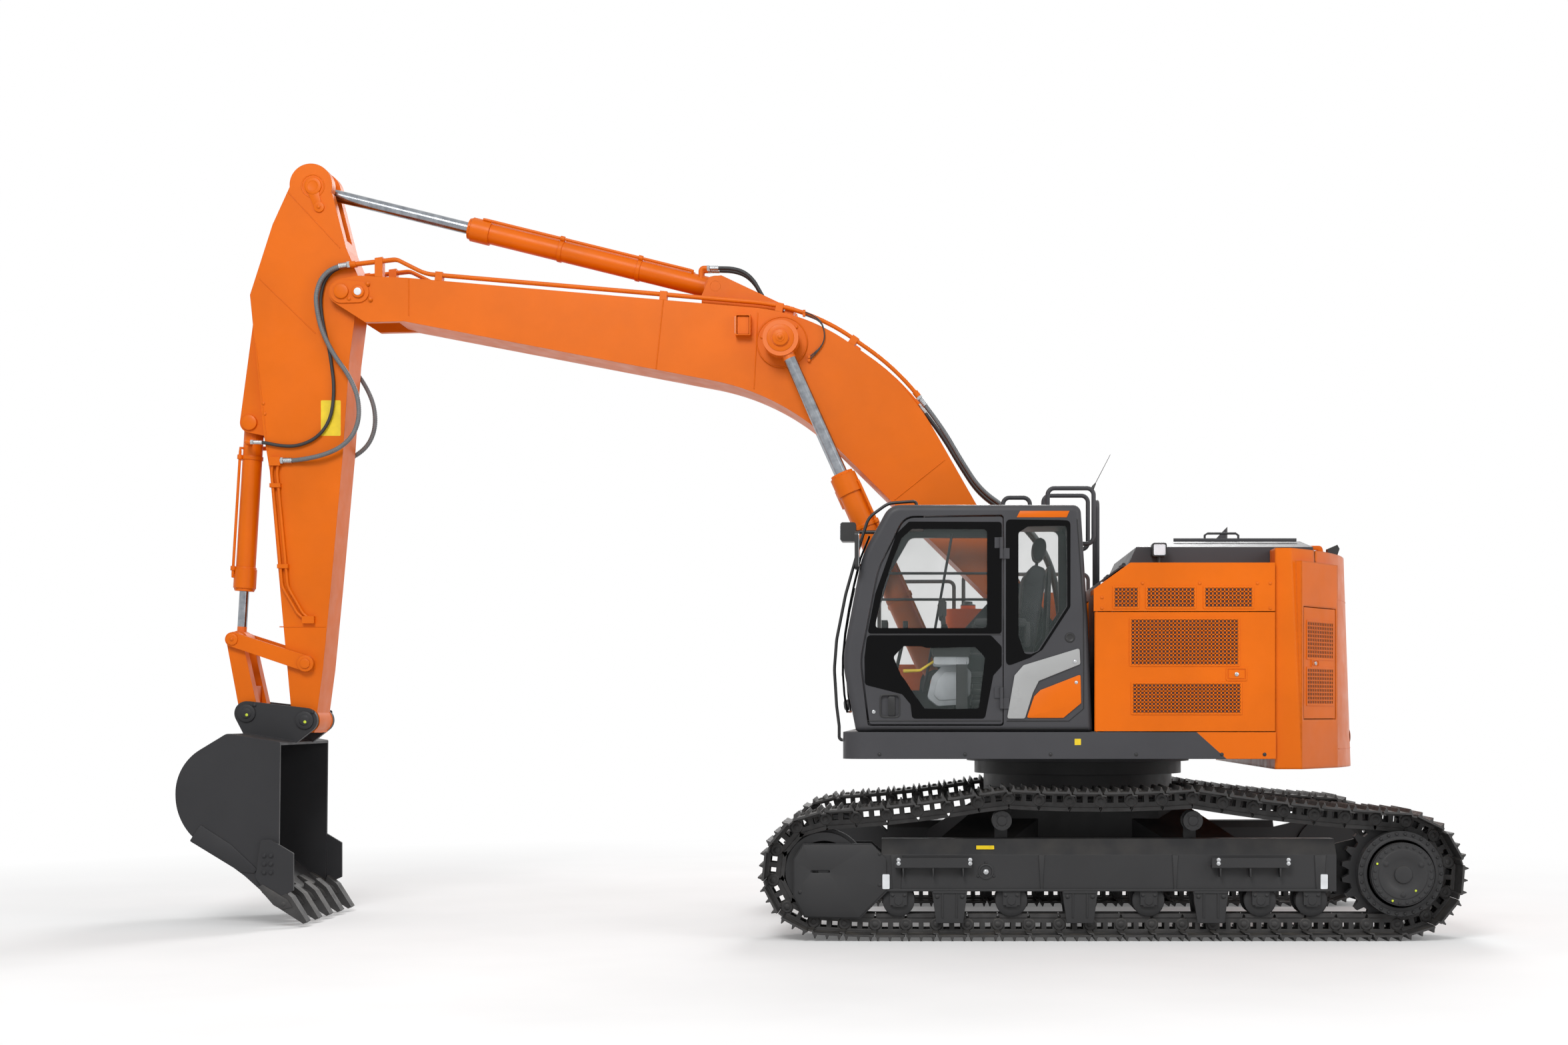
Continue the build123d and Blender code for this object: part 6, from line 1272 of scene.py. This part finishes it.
def make_boom():
    piece = Piece("boom_welds", "boom", "orange")
    for start, end in (((-5109, 4895), (-5109, 4618)), ((-3170, 4737), (-3226, 4212)),
                       ((-1409, 3214), (-1028, 3519)), ((-2450, 4640), (-2480, 4060))):
        piece.weld(start, end, -245, 40, 4.2)
    for x, z, radius, y in ((-2266, 4414, 190, -261), (-2266, 4414, 126, -261), (-495, 2430, 124, -245)):
        piece.weld_circle(x, z, radius, y, 80, 5)
    piece.both().done()

    piece = Piece("boom_caps", "boom", "orange", "white", bevel=1.0)
    piece.lathe(((0, 47), (6, 45), (8, 36), (8, 30)), (-5491, -267, 4797), LEFT)
    piece.use("white").lathe(((8, 30), (13, 28), (14, 20)), (-5491, -267, 4797), LEFT)
    piece.use("orange")
    for x, z in ((-5420, 4858), (-5560, 4745), (-5400, 4740)):
        piece.bolt((x, -257, z), 13)
    for angle in (0.8, 2.9, 5.0):
        piece.bolt((-2266 + 158 * math.cos(angle), -261, 4414 + 158 * math.sin(angle)), 12)
    piece.lathe(((0, 54), (5, 52), (6, 30)), (-495, -302, 2430), LEFT)
    piece.both().done()

    # Greasing blocks and the thin pipes that lead to the cylinders' pins
    piece = Piece("boom_grease_pipes", "boom", "track", "orange")
    for dz in (0, 26):
        route = ((-2100, -262, 4620 + dz), (-1980, -268, 4590 + dz / 2), (-1935, -268, 4480),
                 (-1960, -266, 4370), (-2060, -262, 4300 - dz))
        piece.tube(smooth_line(route), 5, 8)
        piece.use("orange").box(-2108, -2088, -270, -244, 4608 + dz, 4632 + dz)
        piece.box(-2070, -2050, -270, -244, 4290 - dz, 4312 - dz).use("track")
    piece.both().done()

    piece = Piece("boom_lamps", "boom", "orange", "lens")
    piece.prism(rect(-2603, -2515, 4470, 4602, 8), -300, -296)
    piece.use("lens")
    lay = laid(-2617, -282, 4536, -90)
    piece.prism(rect(-28, 28, -66, 66, 10), -3, 1, lay)
    piece.both().done()

    out = Vector(LEFT)
    # Name, body, line, radius, Y, then the clamps and the gland by their distance from the foot
    for name, body, line, radius, y, clamps, gland in (
            ("arm_cylinder", "arm_cylinder_barrel", ARM_CYLINDER, 80, 0, (620, 1240), 1971),
            ("bucket_cylinder", "bucket_cylinder_barrel", BUCKET_CYLINDER, 73, 0, (260, 1120), 1290),
            ("boom_cylinder", "boom_cylinder_barrels", BOOM_CYLINDER, 86, BOOM_CYLINDER_Y, (700, 1300),
             1736)):
        foot, head = foot_and_head(line, y)
        unit = (head - foot).normalized()
        up = Vector((0, 1, 0)).cross(unit).normalized()
        piece = Piece(f"{name}_fittings", body, "orange", bevel=0.8)
        for clamp in clamps:
            piece.lathe(((-16, radius + 0.5), (-15, radius + 7), (15, radius + 7), (16, radius + 0.5)),
                        foot + unit * clamp, unit, 36)
        for offset in (-1, 1):
            side = (up * 0.86 + out * offset * 0.5).normalized() * (radius + 22)
            start, end = foot + unit * (radius * 2.6) + side, foot + unit * (gland - 105) + side
            pipe = (start - side * 0.30, start, start + unit * 30, end - unit * 30, end, end - side * 0.22)
            piece.tube(pipe, 11, 10)
            for clamp in clamps:
                piece.lathe(((-18, 17), (-16, 20), (16, 20), (18, 17)), foot + unit * clamp + side, unit, 12)
        piece.lathe(((0, radius * 1.16), (8, radius * 1.16), (12, radius * 1.05), (12, radius * 0.72)),
                    foot + unit * (gland - 31), unit, 40)
        across = unit.cross(out).normalized()
        for a, b in circle(0, 0, radius * 0.93, 10):
            piece.bolt(foot + unit * (gland - 19) + out * a + across * b, 9, tuple(unit), 12)
        if y:
            piece.both()
        piece.done()

    piece = Piece("boom_cylinder_caps", "boom_cylinder_rods", "orange", bevel=1.0)
    piece.lathe(((0, 62), (8, 60), (10, 34), (14, 32)), (-2266, -459, 4414), LEFT, 36)
    piece.bolt((-2266, -473, 4414), 14)
    piece.lathe(((0, 104), (4, 102), (5, 66)), (-2266, -443, 4414), LEFT, 40)
    piece.both().done()


def make_rod_tails():
    """The rods' lengths deep inside their barrels, which come into sight as a cylinder extends."""
    for name, line, radius, y, inner, outer in (
            ("boom_cylinder_rods", BOOM_CYLINDER, 47, BOOM_CYLINDER_Y, 1060, 1410),
            ("arm_cylinder_rod", ARM_CYLINDER, 45, 0, 1190, 1710),
            ("bucket_cylinder_rod", BUCKET_CYLINDER, 35, 0, 260, 1110)):
        foot, head = foot_and_head(line, y)
        piece = Piece(f"{name}_tail", name, "chrome")
        profile = ((inner, radius - 2), (inner + 2, radius), (outer, radius))
        piece.lathe(profile, foot, (head - foot).normalized(), 48)
        if y:
            piece.both()
        piece.done()


def make_arm():
    half = 170.0
    piece = Piece("arm_welds", "arm", "orange")
    for start, end in (((-6051, 5578), (-5653, 5150)), ((-6270, 4915), (-5842, 4497)),
                       ((-6300, 4420), (-6205, 3600)), ((-6116, 2250), (-5765, 2250))):
        piece.weld(start, end, -half, 50, 3.6)
    for x, z, radius in ((-5620, 4800, 100), (-5905, 1535, 95), (-5861, 5624, 86)):
        piece.weld_circle(x, z, radius, -half, 72, 4.5)
    piece.both().done()

    piece = Piece("arm_caps", "arm", "orange", bevel=1.0)
    piece.lathe(((0, 66), (10, 64), (12, 40), (9, 36)), (-5861, -half, 5624), LEFT, 36)
    piece.disc((-5813, -half, 5462), 40, 12).bolt((-5813, -half - 12, 5462), 13)
    piece.prism(rounded(((-5905, 5590), (-5817, 5590), (-5785, 5440), (-5841, 5436)), 22), -half - 8, -half)
    piece.lathe(((0, 56), (8, 54), (10, 32)), (-5620, -265, 4800), LEFT)
    piece.lathe(((0, 60), (22, 58), (26, 36)), (-6362, -118, 3820), LEFT)
    piece.lathe(((0, 39), (8, 37), (9, 20)), (-5904, -232, 1968), LEFT, 28)
    piece.disc((-5904, -222, 1968), 62, 8)
    for x, z in ((-6240, 3960), (-6230, 3880)):
        piece.bolt((x, -half, z), 11)
    piece.both().done()

    piece = Piece("arm_label", "arm", "yellow")
    piece.prism(rect(-5800, -5648, 3712, 3984, 10), -half - 1.2, -half + 0.3)
    piece.both().done()

    piece = Piece("link_caps", "side_links", "orange", bevel=1.0)
    piece.lathe(((0, 46), (10, 44), (12, 23)), (-6464, -216, 2153), LEFT)
    piece.bolt((-6464, -228, 2153), 12)
    piece.both().done()


def make_bucket():
    half = 630.0
    piece = Piece("bucket_bolts", "bucket", "bucket")
    for x in (-6080, -6030):
        for z in (408, 470, 532):
            piece.bolt((x, -half - 25, z), 15, height=13)
    piece.both().done()

    piece = Piece("bucket_wear_parts", "bucket", "bucket", bevel=2.0)
    for y in (-400, -135, 135, 400):
        strip = ((-6555, 616), (-6245, 389), (-6250, 379), (-6262, 384), (-6556, 599), (-6564, 608))
        piece.prism(strip, y - 32, y + 32)
    for y in (-half - 8, half - 2):
        plate = rounded(((-6640, 640), (-6560, 760), (-6330, 610), (-6140, 430), (-6160, 400),
                         (-6260, 408)), 12)
        piece.prism(plate, y, y + 10)
    piece.done()

    piece = Piece("tooth_adapters", "bucket", "track", bevel=2.5)
    for k in range(5):
        y = 1200 * (k / 4 - 0.5)
        piece.prism(((-6128, 300), (-6090, 318), (-5905, 205), (-5870, 150), (-5950, 132), (-6010, 165)),
                    y - 62, y + 62)
        piece.lathe(((-66, 12), (-64, 16), (64, 16), (66, 12)), (-5935, y, 172), (0, 1, 0), 16)
    piece.done()

    piece = Piece("bucket_pin_caps", "bucket", "bucket", "mark", bevel=1.0)
    pins = (-5905, 1535), (-6348, 1588)
    for x, z in pins:
        piece.lathe(((0, 70), (12, 68), (14, 44)), (x, -236, z), LEFT)
        piece.lathe(((0, 41), (10, 38), (12, 20)), (x, -244, z), LEFT, 28)
        piece.bolt((x + 62, -236, z + 62), 12)
    piece.use("mark")
    for x, z in pins:
        piece.disc((x + 8, -256, z - 12), 12, 2, steps=16)
    piece.both().done()


# Right side: tanks, toolbox and deck, and the boom bracket's bolts

def make_right_side():
    piece = Piece("tank_fittings", "upperstructure", "black", bevel=1.0)
    for x, top in ((-820, 2474), (-60, 2604)):
        piece.lathe(((0, 63), (10, 60), (14, 40), (34, 36), (38, 28)), (x, 1050, top), (0, 0, 1))
    piece.lathe(((-4, 12), (-3, 15), (240, 15), (241, 12)), (-330, 1462, 1900), (0, 0, 1), 14)
    for x, low, high in ((-655, 1500, 2380), (25, 1500, 2510)):
        for z in (low + 60, (low + high) / 2, high - 60):
            piece.bolt((x, 1460, z), 11, (0, 1, 0))
    piece.done()

    piece = Piece("tank_straps", "upperstructure", "orange", bevel=2.0)
    for x_low, x_high, z in ((-950, -360, 1700), (-950, -360, 2250), (-220, 270, 1700), (-220, 270, 2300)):
        piece.box(x_low, x_high, 1459, 1466, z - 12, z + 12)
    piece.done()

    piece = Piece("toolbox_latches", "toolbox_lid", "black", bevel=1.0)
    for y in (900, 1300):
        piece.box(-1716, -1704, y - 32, y + 32, 1925, 1978)
        handle = ((-1718, y - 22, 1940), (-1730, y - 22, 1930), (-1730, y + 22, 1930), (-1718, y + 22, 1940))
        piece.tube(handle, 5, 8)
    piece.done()

    piece = Piece("deck_plates", "upperstructure", "charcoal", bevel=1.0)
    for x_low, x_high, y_low, y_high in ((-1740, -1720, 770, 1400), (-1000, -320, 1466, 1488),
                                         (-1690, -1290, -440, -320), (-1280, -900, -440, -320)):
        piece.box(x_low, x_high, y_low, y_high, 1457, 1461)
    for x in range(-1680, -1290, 36):
        for y in range(-430, -320, 34):
            piece.disc((x, y, 1461), 8, 3, (0, 0, 1), 10)
    piece.done()

    piece = Piece("bracket_bolts", "upperstructure", "charcoal")
    for x, z, radius in ((-495, 2430, 118), (-1096, 1816, 84)):
        piece.bolt_circle(x, -292, z, radius, 3, math.pi / 6, 12)
    piece.both().done()


make_house()
make_cab()
make_seat()
make_boom()
make_rod_tails()
make_arm()
make_bucket()
make_right_side()


# Floor, backdrop and light

FLOOR_FADE = 5.2, 10.5       # metres from the middle, where the floor begins and ends passing into white
FLOOR_RADII = 30.0, 40.0     # metres
FLOOR_LIFT = 0.14            # what the camera sees the floor shine by itself
WORLD_LIGHT = 0.50           # strength on the object; the camera, mirrors and glass see 1


def make_floor():
    """Pale floor that keeps the shadow near the machine and passes into the white backdrop further out."""
    s = Shader("studio_floor")
    base = s.tones(0.6, 3, 0.3, 0.7, rgb(226, 226, 226), rgb(232, 232, 232))
    s.finish(base, 0.8, s.bump(0.05, 0.001, s.noise(60, 2)), specular=0.2)
    lit = s.output.inputs["Surface"].links[0].from_socket
    path = s.node("LightPath").outputs
    mirrored = s.math("MAXIMUM", path["Is Glossy Ray"], path["Is Transmission Ray"])
    seen = s.math("MAXIMUM", path["Is Camera Ray"], mirrored)
    away = s.node("VectorMath", {0: s.coordinates}, operation="LENGTH").outputs["Value"]
    far = s.math("MULTIPLY", seen, s.span(away, *FLOOR_FADE))
    lift = s.node("Emission", {"Color": (1, 1, 1, 1), "Strength": s.math("MULTIPLY", seen, FLOOR_LIFT)})
    near = s.node("AddShader", {0: lit, 1: lift.outputs[0]})
    white = s.node("Emission", {"Color": (1, 1, 1, 1), "Strength": 1.0})
    whole = s.node("MixShader", {0: far, 1: near.outputs[0], 2: white.outputs[0]})
    s.tree.links.new(whole.outputs[0], s.output.inputs["Surface"])
    mesh = bpy.data.meshes.new("floor")
    form = bmesh.new()
    steps = 48
    centre = form.verts.new((0, 0, 0))
    last = None
    for radius in FLOOR_RADII:
        ring = [form.verts.new((x, y, 0)) for x, y in circle(0, 0, radius, steps)]
        for k in range(steps):
            after = (k + 1) % steps
            if last:
                form.faces.new((last[k], last[after], ring[after], ring[k]))
            else:
                form.faces.new((centre, ring[k], ring[after]))
        last = ring
    bmesh.ops.recalc_face_normals(form, faces=form.faces)
    form.to_mesh(mesh)
    form.free()
    floor = bpy.data.objects.new("floor", mesh)
    floor.location = (0, 0, -0.001)
    mesh.materials.append(s.material)
    bpy.context.scene.collection.objects.link(floor)


def make_world():
    world = bpy.data.worlds.new("studio")
    world.use_nodes = True
    tree = world.node_tree
    background = tree.nodes["Background"]
    background.inputs["Color"].default_value = (1.0, 1.0, 1.0, 1.0)
    path = tree.nodes.new("ShaderNodeLightPath")
    seen = path.outputs["Is Camera Ray"]
    for name in ("Is Glossy Ray", "Is Transmission Ray"):
        either = tree.nodes.new("ShaderNodeMath")
        either.operation = "MAXIMUM"
        tree.links.new(seen, either.inputs[0])
        tree.links.new(path.outputs[name], either.inputs[1])
        seen = either.outputs[0]
    strength = tree.nodes.new("ShaderNodeMapRange")
    tree.links.new(seen, strength.inputs["Value"])
    strength.inputs["To Min"].default_value = WORLD_LIGHT
    strength.inputs["To Max"].default_value = 1.0
    tree.links.new(strength.outputs["Result"], background.inputs["Strength"])
    bpy.context.scene.world = world


def make_lamp(name, location, target, size, power):
    data = bpy.data.lights.new(name, "AREA")
    data.shape = "DISK"
    data.size = size
    data.energy = power
    lamp = bpy.data.objects.new(name, data)
    lamp.location = location
    lamp.rotation_euler = (Vector(target) - Vector(location)).to_track_quat("-Z", "Y").to_euler()
    bpy.context.scene.collection.objects.link(lamp)


make_floor()
make_world()
make_lamp("key", (-3, -15, 13), (-0.5, 0, 2), 7, 1680)
make_lamp("fill", (11, -9, 6), (0, 0, 2), 7, 380)
make_lamp("back", (3, 12, 11), (0, 0, 2), 6, 1000)

bpy.context.scene.view_settings.view_transform = "Standard"
